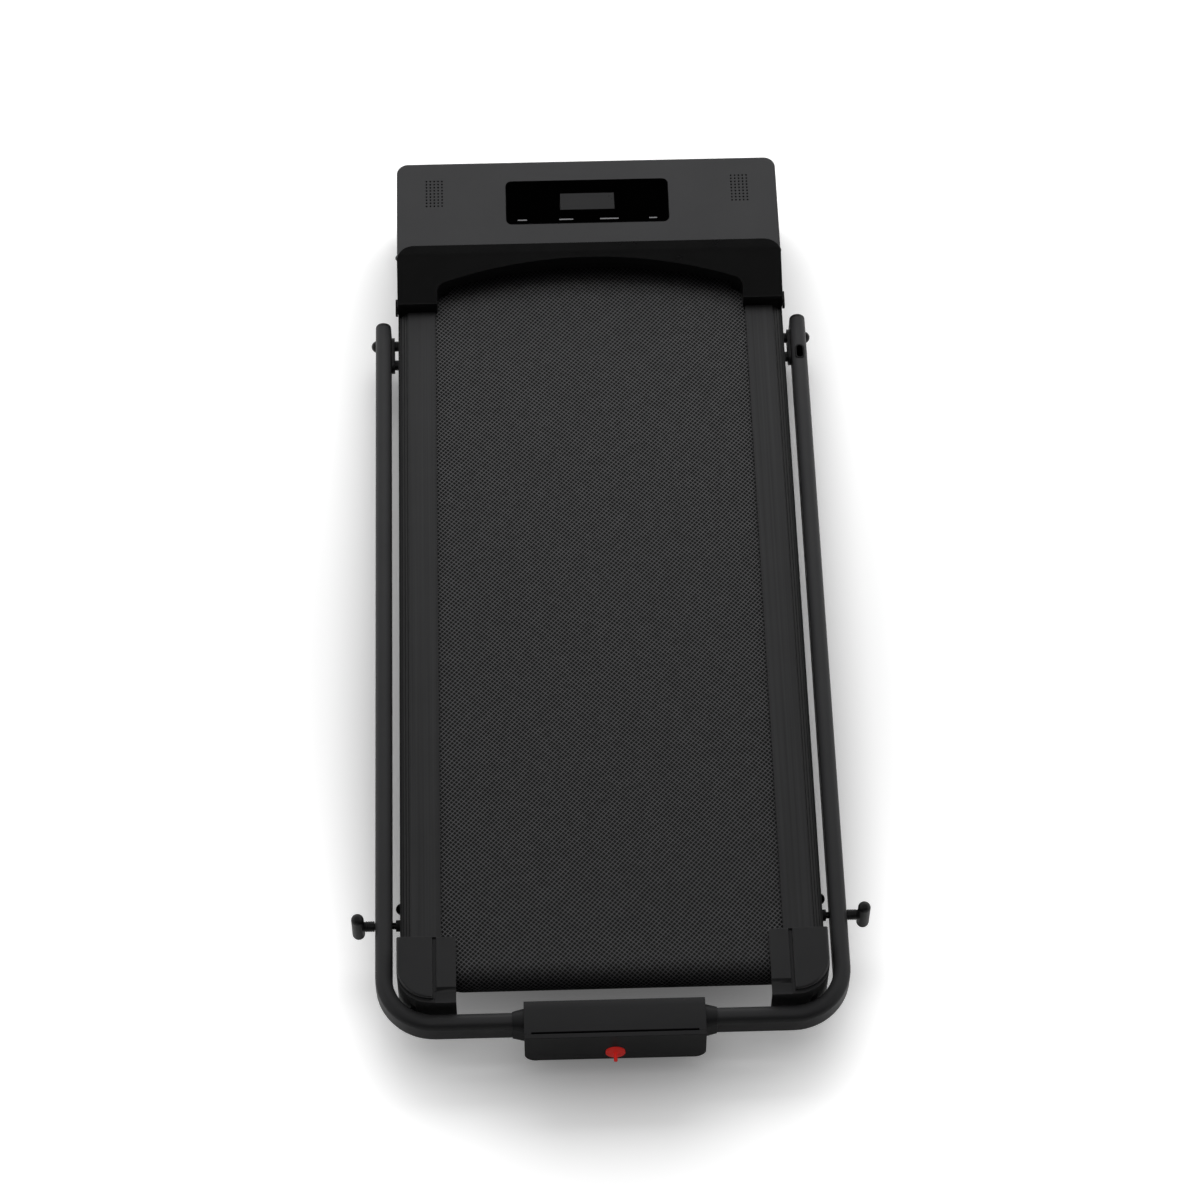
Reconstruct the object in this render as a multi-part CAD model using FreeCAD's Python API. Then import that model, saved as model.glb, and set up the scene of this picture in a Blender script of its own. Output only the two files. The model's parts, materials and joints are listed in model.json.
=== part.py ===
"""Walking pad with a U-shaped handrail that folds flat round its deck.

Millimetres. +X is to the right, +Y points to the motor hood and +Z is up. The origin lies on
the floor under the middle of the folded machine.
"""
import FreeCAD, Part
import math
import os

# Overall sizes
overall_length = 1254.0
belt_width = 410.0
deck_height = 102.0
hood_height = 137.0
ground_clearance = 20.0

# Fits: radial for round pieces, and an overrun for cutting tools
running_gap = 0.3
shaft_clearance = 0.06
seat_clearance = 0.05
cut_overrun = 5.0
same_place = 0.001

# Running belt and the two rollers that carry it
belt_side_gap = 21.0
belt_thickness = 1.6
belt_drop = 6.0
roller_radius = 21.0
roller_wall = 3.0
roller_end_overhang = 1.0
roller_hub_thickness = 10.0
hub_hole_radius = 2.2
hub_hole_count = 6
front_roller_setback = 122.0
rear_roller_inset = 109.0
front_shaft_radius = 8.0
rear_axle_radius = 6.0
bearing_radius = 11.0
axle_end_gap = 1.0

# Welded frame: two rectangular side members and the cross members between them
member_width = 20.0
member_drop = 12.0
member_wall = 2.0
member_end_plate = 4.0
member_front_setback = 55.0
member_rear_inset = 88.0
cross_depth = 40.0
cross_height = 18.0
cross_place_shares = (0.12, 0.5, 0.88)
motor_bed_rise_share = 2 / 7

# Deck board on rubber cushions
board_thickness = 15.0
board_side_gap = 4.0
board_end_gap = 12.0
cushion_height = 6.0
cushion_width = 40.0
cushion_depth = 30.0
cushion_place_share = 0.66

# Side rails: extrusions beside the belt, with a grooved outer flank
rail_lap = 5.0
rail_skirt = 2.0
rail_skirt_height = 22.0
rail_lip = 4.0
rail_chamber_wall = 3.0
rail_ledge_cover = 2.0
shoulder_width = 13.0
shoulder_ledge = 2.5
flank_groove_count = 3
flank_groove_width = 1.0
flank_groove_depth = 0.8

# Rear corner caps over the roller ends
cap_length = 82.5
cap_rear_inset = 59.5
cap_side_proud = 4.0
cap_top_proud = 3.0
cap_lap = 22.0
cap_wall = 3.5
cap_belt_gap = 2.5
cap_bottom = 30.0
cap_corner_radius = 40.0
cap_edge_radius = 3.0
cap_groove_offset = 3.0
cap_groove_width = 4.6
cap_groove_floor = 1.3
cap_step_drop = 2.0
cap_slope_run = 5.0
cap_slope_drop = 5.3
cap_lip_length = 13.0
cap_rim_width = 4.5
cap_rim_drop = 5.5
adjuster_radius = 3.0
adjuster_head_radius = 6.0
adjuster_head_height = 6.0
adjuster_access_radius = 8.0

# Motor hood and the belly pan under it
hood_depth = 136.0
hood_side_wall = 2.0
hood_top_wall = 4.0
hood_front_wall = 3.0
hood_corner_radius = 15.0
hood_edge_radius = 4.0
hood_bottom = 22.0
pan_thickness = 3.0
pan_side_gap = 11.0
pan_front_gap = 5.0
pan_ear_height = 25.0
pan_ear_length = 30.0

# Display lens, read-out and circuit board in the hood top
display_width = 212.0
display_depth = 70.0
display_setback = 68.0
display_corner_radius = 8.0
display_pocket = 2.0
display_proud = 0.5
display_clearance = 0.2
lcd_width = 70.0
lcd_depth = 26.0
lcd_sunk = 0.2
lcd_ledge = 2.0
board_boss_radius = 3.0
board_boss_height = 5.0
board_boss_x = 90.0
board_boss_y = 20.0
circuit_thickness = 1.6
circuit_margin = 6.0

# Speaker grilles and drivers
grille_inset = 49.0
grille_setback = 50.5
grille_columns = 5
grille_rows = 9
grille_pitch = 5.05
grille_hole_radius = 1.2
speaker_rim_radius = 24.0
speaker_rim_height = 3.0
speaker_magnet_radius = 14.0
speaker_magnet_height = 12.0

# Apron: the arched trim between hood and belt
apron_reach = 79.0
apron_flange = 15.0
apron_flange_thickness = 2.5
apron_wall = 3.0
apron_leg_rise_share = 0.486
apron_corner_radius = 22.0
apron_edge_radius = 2.5
apron_bend_radius = 20.0
arch_lap = 8.0
arch_crown_depth = 22.0
arch_sagitta = 32.0
arch_corner_radius = 14.0
arch_lip_height = 24.0
apron_lug_proud = 3.0
apron_lug_length = 22.0
apron_lug_overhang = 5.0
apron_lug_rise = 6.0
apron_lug_drop = 2.0
hood_screw_radius = 4.5
hood_screw_height = 3.0
hood_screw_shank_radius = 2.0
hood_screw_length = 8.0
hood_screw_setback = 133.5
hood_screw_rise_share = 20 / 47

# Motor, drive belt and controller
motor_floor_gap = 7.0
motor_head_room = 20.0
motor_length = 160.0
motor_to_pulley = 26.0
motor_setback = 49.0
motor_shaft_radius = 5.0
motor_bell_length = 8.0
motor_bell_inset = 5.0
motor_mount_length = 120.0
motor_mount_depth = 56.0
motor_mount_drop = 18.0
pulley_inset = 10.0
pulley_width = 16.0
pulley_flange = 1.5
driven_pulley_radius = 27.0
motor_pulley_radius = 10.0
drive_belt_width = 10.0
drive_belt_thickness = 2.5
pulley_flange_proud = 1.0
controller_inset = 101.0
controller_width = 130.0
controller_base = 5.0
controller_fin_count = 8
controller_fin_thickness = 3.0
controller_fin_height = 30.0

# Mains inlet, rocker switch and breaker button in a recess of the hood front
service_inset = 103.0
service_z = 72.0
service_width = 130.0
service_height = 60.0
service_recess = 8.0
service_wall = 3.0
service_corner_radius = 6.0
service_flange = 2.0
inlet_offset = 32.0
inlet_width = 28.0
inlet_height = 20.0
inlet_depth = 22.0
inlet_flange_width = 48.0
inlet_flange_height = 26.0
inlet_wall = 2.5
inlet_back = 6.0
inlet_pin_width = 2.0
inlet_pin_height = 4.0
inlet_pin_length = 10.0
inlet_pin_spacing = 7.0
inlet_pin_drop = 2.0
rocker_offset = 12.0
rocker_radius = 8.0
rocker_length = 16.0
rocker_throw = 16.0
rocker_face = 4.5
rocker_axis_sunk = 2.0
switch_wall = 2.0
switch_depth = 16.0
switch_flange_margin = 2.0
breaker_offset = 44.0
breaker_radius = 5.0
breaker_length = 14.0
breaker_proud = 3.0
breaker_travel = 2.5
breaker_bush_radius = 7.0
breaker_bush_flange_radius = 10.0
breaker_bush_flange = 3.0
breaker_bush_depth = 14.0

# Transport wheels and feet
wheel_radius = 21.0
wheel_width = 18.0
wheel_setback = 27.0
wheel_z = 24.0
wheel_to_pan = 7.0
wheel_groove = 1.5
wheel_groove_width = 6.0
wheel_axle_radius = 5.0
wheel_axle_head_radius = 8.0
wheel_axle_head = 3.0
foot_radius = 9.5
foot_flare = 2.5
foot_front_setback = 172.0
foot_rear_inset = 127.0

# Handrail: one bent flat-oval tube that turns on two pivots
tube_width = 20.0
tube_height = 40.0
tube_wall = 1.5
tube_gap = 12.0
tube_drop = 38.0
bend_radius = 60.0
crossbar_inset = 44.7
pivot_setback = 241.0
tube_front_reach = 20.0
plug_head = 5.5
plug_insert = 15.0
plug_edge_radius = 4.0

# Pivot hardware on each side member
pivot_radius = 5.0
pivot_bush_radius = 7.0
bracket_thickness = 4.0
bracket_end_radius = 11.0
bracket_bolt_spacing = 29.8
bracket_bolt_radius = 4.0
standoff_radius = 6.5
bolt_flange_radius = 8.0
bolt_flange = 3.0
dome_nut_radius = 7.5
dome_nut_height = 5.5
dome_nut_bore = 3.0
rail_bolt_radius = 7.0
rail_bolt_height = 8.0
rail_bolt_lead = 21.7
rail_bolt_shank_radius = 3.0

# Lock knobs: T-handled clamp screws through the tube
knob_inset = 177.0
screw_radius = 4.0
clamp_bush_radius = 7.0
foot_pad_radius = 6.85
foot_pad_thickness = 7.5
foot_pad_floor = 2.1
hub_radius = 5.85
hub_gap = 1.0
hub_length = 12.0
hub_bore = 8.0
handle_radius = 7.5
handle_length = 50.0

# Console box on the crossbar
console_width = 210.8
console_rise = 26.0
console_hang = 26.0
console_top_depth = 49.6
console_foot_overhang = 3.8
console_wall = 3.0
console_strip = 5.6
console_corner_radius = 14.0
lid_thickness = 5.0
lid_bevel = 11.0
lid_bevel_drop = 4.2
lid_slot = 2.4
lid_slot_inset = 8.4
collar_length = 13.6
collar_wide = 4.5
collar_narrow = 1.2
key_radius = 11.5
key_thickness = 2.0
key_dome = 1.0
key_stub_radius = 2.2
key_stub_length = 10.0
key_drop = 10.0
key_recess = 1.2
key_recess_margin = 0.8

# Cable grommet in the top of the right-hand tube
grommet_length = 22.0
grommet_width = 12.0
grommet_wall = 2.0
grommet_depth = 5.0
grommet_proud = 0.6
grommet_behind_pivot = 35.3

# Places worked out from the sizes above
front_y = overall_length / 2
rear_y = -overall_length / 2
belt_edge_x = belt_width / 2
member_inner_x = belt_edge_x + belt_side_gap
member_outer_x = member_inner_x + member_width
rail_outer_x = member_outer_x + rail_skirt
rail_inner_x = belt_edge_x - rail_lap
member_x = (member_outer_x + member_inner_x) / 2
member_bottom_z = ground_clearance
member_top_z = deck_height - member_drop
member_front_y = front_y - member_front_setback
member_rear_y = rear_y + member_rear_inset
belt_top_z = deck_height - belt_drop
belt_inner_radius = roller_radius + running_gap
belt_outer_radius = belt_inner_radius + belt_thickness
roller_z = belt_top_z - belt_outer_radius
front_roller_y = front_y - front_roller_setback
rear_roller_y = rear_y + rear_roller_inset
roller_end_x = belt_edge_x + roller_end_overhang
board_top_z = roller_z + roller_radius
board_bottom_z = board_top_z - board_thickness
board_front_y = front_roller_y - roller_radius - board_end_gap
board_rear_y = rear_roller_y + roller_radius + board_end_gap
cross_top_z = board_bottom_z - cushion_height
cushion_x = cushion_place_share * member_inner_x
motor_y = front_y - motor_setback
motor_bed_top_z = member_bottom_z + motor_bed_rise_share * (member_top_z - member_bottom_z)
motor_bed_rear_y = member_front_y - cross_depth
pulley_x = pulley_inset - member_inner_x
motor_left_x = pulley_x + motor_to_pulley
controller_x = member_inner_x - controller_inset
cap_rear_y = rear_y + cap_rear_inset
cap_front_y = cap_rear_y + cap_length
cap_outer_x = rail_outer_x + cap_side_proud
cap_inner_x = belt_edge_x - cap_lap
cap_groove_x = belt_edge_x + cap_groove_offset
cap_top_z = deck_height + cap_top_proud
cap_ceiling_z = belt_top_z + cap_belt_gap
hood_line_y = front_y - hood_depth
hood_rear_y = hood_line_y - apron_flange
hood_ceiling_z = hood_height - hood_top_wall
motor_low_z = motor_bed_top_z + motor_floor_gap
motor_high_z = hood_ceiling_z - motor_head_room
motor_radius = (motor_high_z - motor_low_z) / 2
motor_z = (motor_high_z + motor_low_z) / 2
apron_end_y = hood_line_y - apron_reach
apron_top_z = hood_height + apron_flange_thickness
leg_top_z = deck_height + apron_leg_rise_share * (hood_height - deck_height)
arch_half_width = belt_edge_x - arch_lap
hood_screw_z = member_top_z + hood_screw_rise_share * (hood_height - member_top_z)
display_y = front_y - display_setback
grille_x = rail_outer_x - grille_inset
grille_y = front_y - grille_setback
service_face_y = front_y - service_recess
service_back_y = service_face_y - service_wall
service_x = rail_outer_x - service_inset
pan_half_width = member_inner_x - pan_side_gap
wheel_inner_x = pan_half_width + wheel_to_pan
wheel_y = front_y - wheel_setback
pan_top_z = member_bottom_z
pan_bottom_z = pan_top_z - pan_thickness
tube_z = deck_height - tube_drop
tube_inner_x = member_outer_x + tube_gap
tube_x = tube_inner_x + tube_width / 2
tube_outer_x = tube_inner_x + tube_width
pivot_y = front_y - pivot_setback
tube_end_y = pivot_y + tube_front_reach
crossbar_y = rear_y + crossbar_inset
knob_y = rear_y + knob_inset
grommet_y = pivot_y - grommet_behind_pivot
console_end_x = console_width / 2
console_top_z = tube_z + console_rise
console_bottom_z = tube_z - console_hang
console_height = console_top_z - console_bottom_z
key_z = tube_z - key_drop
lean_angle = math.atan2(console_foot_overhang, console_height)
key_reach = key_thickness + key_stub_length
key_face_y = rear_y + key_reach * math.cos(lean_angle) + key_stub_radius * math.sin(lean_angle)
console_top_rear_y = key_face_y + (console_top_z - key_z) * math.tan(lean_angle)
console_bottom_rear_y = console_top_rear_y - console_foot_overhang
console_front_y = console_top_rear_y + console_top_depth
console_strip_y = console_top_rear_y + console_strip
console_rim_z = console_top_z - lid_thickness

X_AXIS = FreeCAD.Vector(1, 0, 0)
Y_AXIS = FreeCAD.Vector(0, 1, 0)
Z_AXIS = FreeCAD.Vector(0, 0, 1)
ORIGIN = FreeCAD.Vector(0, 0, 0)


def vec(x, y, z):
    return FreeCAD.Vector(x, y, z)


def box(x0, x1, y0, y1, z0, z1):
    return Part.makeBox(x1 - x0, y1 - y0, z1 - z0, vec(x0, y0, z0))


def rod_x(x0, x1, y, z, radius):
    return Part.makeCylinder(radius, x1 - x0, vec(x0, y, z), X_AXIS)


def rod_y(y0, y1, x, z, radius):
    return Part.makeCylinder(radius, y1 - y0, vec(x, y0, z), Y_AXIS)


def rod_z(z0, z1, x, y, radius):
    return Part.makeCylinder(radius, z1 - z0, vec(x, y, z0), Z_AXIS)


def ring_x(x0, x1, y, z, outer, inner):
    hole = rod_x(x0 - cut_overrun, x1 + cut_overrun, y, z, inner)
    return rod_x(x0, x1, y, z, outer).cut(hole)


def outline(corners):
    """A closed wire through corners of (point, radius), rounded where the radius isn't zero."""
    edges = []
    joints = []
    for index, (point, radius) in enumerate(corners):
        before = (corners[index - 1][0] - point).normalize()
        after = (corners[(index + 1) % len(corners)][0] - point).normalize()
        half = before.getAngle(after) / 2
        if radius == 0:
            joints.append((point, point))
            continue
        cut = radius / math.tan(half)
        inward = (before + after).normalize()
        middle = point + inward * (radius / math.sin(half) - radius)
        start = point + before * cut
        end = point + after * cut
        edges.append(Part.Arc(start, middle, end).toShape())
        joints.append((start, end))
    for index, (start, end) in enumerate(joints):
        following = joints[(index + 1) % len(joints)][0]
        if end.distanceToPoint(following) > same_place:
            edges.append(Part.makeLine(end, following))
    return Part.Wire(Part.__sortEdges__(edges))


def plan_prism(corners, z0, z1):
    """Corners are (x, y, radius)."""
    wire = outline([(vec(x, y, z0), radius) for x, y, radius in corners])
    return Part.Face(wire).extrude(vec(0, 0, z1 - z0))


def side_prism(corners, x0, x1):
    """Corners are (y, z, radius)."""
    wire = outline([(vec(x0, y, z), radius) for y, z, radius in corners])
    return Part.Face(wire).extrude(vec(x1 - x0, 0, 0))


def section_prism(corners, y0, y1):
    """Corners are (x, z, radius)."""
    wire = outline([(vec(x, y0, z), radius) for x, z, radius in corners])
    return Part.Face(wire).extrude(vec(0, y1 - y0, 0))


def rectangle(a0, a1, b0, b1, radius):
    return [(a0, b0, radius), (a1, b0, radius), (a1, b1, radius), (a0, b1, radius)]


def stadium(centre, wide, tall, width, height):
    """The face of a flat oval: width across its round ends, height along its straight sides."""
    across = wide * (width / 2)
    along = tall * (height / 2 - width / 2)
    tip = tall * (height / 2)
    low_left = centre - across - along
    low_right = centre + across - along
    high_left = centre - across + along
    high_right = centre + across + along
    edges = [
        Part.makeLine(low_left, high_left),
        Part.Arc(high_left, centre + tip, high_right).toShape(),
        Part.makeLine(high_right, low_right),
        Part.Arc(low_right, centre - tip, low_left).toShape(),
    ]
    return Part.Face(Part.Wire(edges))


def dome_x(x0, x1, y, z, radius):
    """A domed head on the plane x0 that reaches to x1."""
    height = abs(x1 - x0)
    ball_radius = (radius * radius + height * height) / (2 * height)
    direction = 1 if x1 > x0 else -1
    ball = Part.makeSphere(ball_radius, vec(x1 - direction * ball_radius, y, z))
    return ball.common(rod_x(min(x0, x1), max(x0, x1), y, z, radius))


def mirrored(shape):
    return shape.mirror(ORIGIN, X_AXIS)


def both_sides(shape):
    return Part.makeCompound([shape, mirrored(shape)])


def edges_at_height(shape, z):
    return [edge for edge in shape.Edges if edge.BoundBox.ZMin > z - same_place]


def save(node, shape):
    shape.exportStep("parts/%s.step" % node)


def save_pair(node, shape):
    save(node + "_right", shape)
    save(node + "_left", mirrored(shape))


def frame_side():
    """Rectangular tube, plated at the rear, holed for the roller shafts and the side bolts."""
    outer = box(member_inner_x, member_outer_x, member_rear_y, member_front_y,
                member_bottom_z, member_top_z)
    bore = box(member_inner_x + member_wall, member_outer_x - member_wall,
               member_rear_y + member_end_plate, member_front_y + cut_overrun,
               member_bottom_z + member_wall, member_top_z - member_wall)
    member = outer.cut(bore)
    through = (member_inner_x - cut_overrun, member_outer_x + cut_overrun)
    outer_wall = (member_x, member_outer_x + cut_overrun)
    bolt_hole = pivot_radius + seat_clearance
    holes = [
        rod_x(*through, front_roller_y, roller_z, bearing_radius + seat_clearance),
        rod_x(*through, rear_roller_y, roller_z, rear_axle_radius + seat_clearance),
        rod_x(*outer_wall, pivot_y, tube_z, bolt_hole),
        rod_x(*outer_wall, pivot_y - bracket_bolt_spacing, tube_z, bracket_bolt_radius + seat_clearance),
        rod_x(*outer_wall, knob_y + rail_bolt_lead, tube_z, rail_bolt_shank_radius + seat_clearance),
        rod_y(member_rear_y - cut_overrun, member_rear_y + member_end_plate + cut_overrun,
              member_x, roller_z, adjuster_radius + seat_clearance),
    ]
    return member.cut(holes)


def cross_tube(y0, y1, z0, z1):
    wall = member_wall
    bore = box(-member_inner_x - cut_overrun, member_inner_x + cut_overrun, y0 + wall, y1 - wall,
               z0 + wall, z1 - wall)
    return box(-member_inner_x, member_inner_x, y0, y1, z0, z1).cut(bore)


def cross_places():
    """Y of the bars that carry the board."""
    board_length = board_front_y - board_rear_y
    return [board_rear_y + share * board_length for share in cross_place_shares]


def frame_cross_members():
    """Three tubes inside the belt loop under the board, and the motor bed under the hood."""
    bars = [cross_tube(motor_bed_rear_y, member_front_y, member_bottom_z, motor_bed_top_z)]
    for y in cross_places():
        bars.append(cross_tube(y - cross_depth / 2, y + cross_depth / 2, cross_top_z - cross_height,
                               cross_top_z))
    return Part.makeCompound(bars)


def deck_board():
    half_width = member_inner_x - board_side_gap
    return box(-half_width, half_width, board_rear_y, board_front_y, board_bottom_z, board_top_z)


def deck_cushions():
    pads = []
    for y in cross_places():
        for x in (-cushion_x, cushion_x):
            pads.append(box(x - cushion_width / 2, x + cushion_width / 2, y - cushion_depth / 2,
                            y + cushion_depth / 2, cross_top_z, board_bottom_z))
    return Part.makeCompound(pads)


def belt_loop(radius):
    centre = vec(-belt_edge_x, (front_roller_y + rear_roller_y) / 2, roller_z)
    length = front_roller_y - rear_roller_y + 2 * radius
    return stadium(centre, Z_AXIS, Y_AXIS, 2 * radius, length).extrude(vec(belt_width, 0, 0))


def running_belt():
    return belt_loop(belt_outer_radius).cut(belt_loop(belt_inner_radius))


def roller_shell(y, shaft_radius):
    """Tube with two hub discs that are pierced by a ring of holes."""
    shell = ring_x(-roller_end_x, roller_end_x, y, roller_z, roller_radius, roller_radius - roller_wall)
    solids = []
    holes = []
    pitch_radius = (shaft_radius + roller_radius - roller_wall) / 2
    for x0 in (-roller_end_x, roller_end_x - roller_hub_thickness):
        x1 = x0 + roller_hub_thickness
        solids.append(ring_x(x0, x1, y, roller_z, roller_radius - roller_wall / 2, shaft_radius))
        for index in range(hub_hole_count):
            angle = 2 * math.pi * index / hub_hole_count
            holes.append(rod_x(x0 - cut_overrun, x1 + cut_overrun, y + pitch_radius * math.cos(angle),
                               roller_z + pitch_radius * math.sin(angle), hub_hole_radius))
    return shell.multiFuse(solids).cut(holes)


def front_roller():
    """Driven roller, welded to a shaft that runs in bearings in the side members."""
    shaft_end = member_outer_x - axle_end_gap
    shaft = rod_x(-shaft_end, shaft_end, front_roller_y, roller_z, front_shaft_radius)
    return roller_shell(front_roller_y, front_shaft_radius - seat_clearance).fuse(shaft)


def front_bearings():
    return both_sides(ring_x(member_inner_x, member_outer_x, front_roller_y, roller_z, bearing_radius,
                             front_shaft_radius + shaft_clearance))


def rear_roller():
    return roller_shell(rear_roller_y, bearing_radius + seat_clearance)


def roller_bearings():
    return both_sides(ring_x(roller_end_x - roller_hub_thickness, roller_end_x, rear_roller_y, roller_z,
                             bearing_radius, rear_axle_radius + shaft_clearance))


def rear_axle():
    end = member_outer_x - axle_end_gap
    return rod_x(-end, end, rear_roller_y, roller_z, rear_axle_radius)


def roller_adjusters():
    """Hex bolts that pull the rear axle back to tension the belt."""
    head_corners = []
    for index in range(6):
        angle = math.pi / 3 * index
        head_corners.append((member_x + adjuster_head_radius * math.cos(angle),
                             roller_z + adjuster_head_radius * math.sin(angle), 0))
    head = section_prism(head_corners, member_rear_y - adjuster_head_height, member_rear_y)
    tip_y = rear_roller_y - rear_axle_radius - running_gap
    shank = rod_y(member_rear_y - adjuster_head_height, tip_y, member_x, roller_z, adjuster_radius)
    return both_sides(head.fuse(shank))


def rail_section():
    """Lip over the belt edge, flat tread, grooved flank and a skirt down the side member."""
    lip_z = deck_height - rail_lip
    skirt_z = deck_height - rail_skirt_height
    foot = vec(rail_outer_x - shoulder_ledge, 0, member_top_z + rail_ledge_cover)
    crest = vec(rail_outer_x - shoulder_width, 0, deck_height)
    points = [
        (rail_inner_x, lip_z),
        (member_inner_x, lip_z),
        (member_inner_x, member_top_z),
        (member_outer_x, member_top_z),
        (member_outer_x, skirt_z),
        (rail_outer_x, skirt_z),
        (rail_outer_x, foot.z),
        (foot.x, foot.z),
    ]
    flank = crest - foot
    uphill = flank / flank.Length
    inward = vec(-uphill.z, 0, uphill.x)
    half_groove = uphill * (flank_groove_width / 2)
    for index in range(flank_groove_count):
        middle = foot + flank * ((index + 0.5) / flank_groove_count)
        for spot in (middle - half_groove, middle + inward * flank_groove_depth, middle + half_groove):
            points.append((spot.x, spot.z))
    points.append((crest.x, crest.z))
    points.append((rail_inner_x, deck_height))
    return [(x, z, 0) for x, z in points]


def side_rail():
    rail = section_prism(rail_section(), cap_front_y, apron_end_y)
    chamber = box(member_inner_x + rail_chamber_wall, rail_outer_x - shoulder_width,
                  cap_front_y - cut_overrun, apron_end_y + cut_overrun,
                  member_top_z + rail_chamber_wall, deck_height - rail_lip)
    return rail.cut(chamber)


def cap_plan(inner_x, side_inset, rear_inset):
    return [
        (inner_x, cap_front_y, 0),
        (inner_x, cap_rear_y + rear_inset, 0),
        (cap_outer_x - side_inset, cap_rear_y + rear_inset, cap_corner_radius - side_inset),
        (cap_outer_x - side_inset, cap_front_y, 0),
    ]


def rear_cap():
    """Moulded corner: a block on a rim, a groove, and a lower step that slopes down to a lip."""
    rim_z = cap_top_z - cap_rim_drop
    block = plan_prism(cap_plan(cap_inner_x, 0, cap_rim_width), rim_z, cap_top_z)
    rounded = []
    for edge in edges_at_height(block, cap_top_z):
        spot = edge.CenterOfMass
        on_front = abs(spot.y - cap_front_y) < same_place
        on_inside = abs(spot.x - cap_inner_x) < same_place
        if not on_front and not on_inside:
            rounded.append(edge)
    base = plan_prism(cap_plan(cap_inner_x, 0, 0), cap_bottom, rim_z)
    body = base.fuse(block.makeFillet(cap_edge_radius, rounded))
    past_inner_x = cap_inner_x - cut_overrun
    past_top_z = cap_top_z + cut_overrun
    past_front_y = cap_front_y + cut_overrun
    past_rear_y = cap_rear_y - cut_overrun
    step_z = cap_top_z - cap_step_drop
    lip_z = step_z - cap_slope_drop
    lip_y = cap_rear_y + cap_lip_length
    over_step = side_prism([
        (past_front_y, past_top_z, 0),
        (past_rear_y, past_top_z, 0),
        (past_rear_y, lip_z, 0),
        (lip_y, lip_z, 0),
        (lip_y + cap_slope_run, step_z, 0),
        (past_front_y, step_z, 0),
    ], past_inner_x, cap_groove_x)
    groove = box(cap_groove_x - cap_groove_width / 2, cap_groove_x + cap_groove_width / 2, past_rear_y,
                 past_front_y, cap_ceiling_z + cap_groove_floor, past_top_z)
    low_room = plan_prism(cap_plan(past_inner_x, cap_wall, cap_wall), cap_bottom - cut_overrun,
                          lip_z - cap_wall)
    belt_room = plan_prism(cap_plan(past_inner_x, cap_wall, cap_lip_length + cap_slope_run), cap_bottom,
                           cap_ceiling_z)
    access = rod_y(past_rear_y, cap_rear_y + cap_wall + cut_overrun, member_x, roller_z,
                   adjuster_access_radius)
    seat = box(member_inner_x, member_outer_x, member_rear_y, cap_front_y, member_top_z, cap_ceiling_z)
    return body.cut([over_step, groove, low_room, belt_room, access]).fuse(seat)


def hood_plan(inset_side, inset_front, rear_y_edge):
    half_width = rail_outer_x - inset_side
    radius = hood_corner_radius - inset_side
    return [
        (-half_width, rear_y_edge, 0),
        (half_width, rear_y_edge, 0),
        (half_width, front_y - inset_front, radius),
        (-half_width, front_y - inset_front, radius),
    ]


def grille_holes(side):
    holes = []
    for column in range(grille_columns):
        for row in range(grille_rows):
            x = side * grille_x + (column - (grille_columns - 1) / 2) * grille_pitch
            y = grille_y + (row - (grille_rows - 1) / 2) * grille_pitch
            holes.append(rod_z(hood_ceiling_z - cut_overrun, hood_height + cut_overrun, x, y,
                               grille_hole_radius))
    return holes


def service_places():
    """X of the mains inlet, the rocker and the breaker, from left to right."""
    return service_x - inlet_offset, service_x + rocker_offset, service_x + breaker_offset


def service_mouth(y0):
    """The rectangular mouth of the mains recess, from y0 out through the hood's front."""
    half_width = service_width / 2
    half_height = service_height / 2
    return section_prism(rectangle(service_x - half_width, service_x + half_width, service_z - half_height,
                                   service_z + half_height, service_corner_radius),
                         y0, front_y + cut_overrun)


def service_panel():
    """Shallow tray behind the hood's front, cut out for the inlet, the rocker and the breaker."""
    half_width = service_width / 2 + service_wall
    half_height = service_height / 2 + service_wall
    tray = box(service_x - half_width, service_x + half_width, service_back_y, front_y - hood_front_wall,
               service_z - half_height, service_z + half_height)
    through = (service_back_y - cut_overrun, service_face_y + cut_overrun)
    inlet_x, rocker_x, breaker_x = service_places()
    inlet_half_width = inlet_width / 2 + seat_clearance
    inlet_half_height = inlet_height / 2 + seat_clearance
    switch_half_width = rocker_length / 2 + switch_wall + seat_clearance
    switch_half_height = rocker_radius + switch_wall + seat_clearance
    return tray.cut([
        service_mouth(service_face_y),
        box(inlet_x - inlet_half_width, inlet_x + inlet_half_width, *through,
            service_z - inlet_half_height, service_z + inlet_half_height),
        box(rocker_x - switch_half_width, rocker_x + switch_half_width, *through,
            service_z - switch_half_height, service_z + switch_half_height),
        rod_y(*through, breaker_x, service_z, breaker_bush_radius + seat_clearance),
    ])


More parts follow.
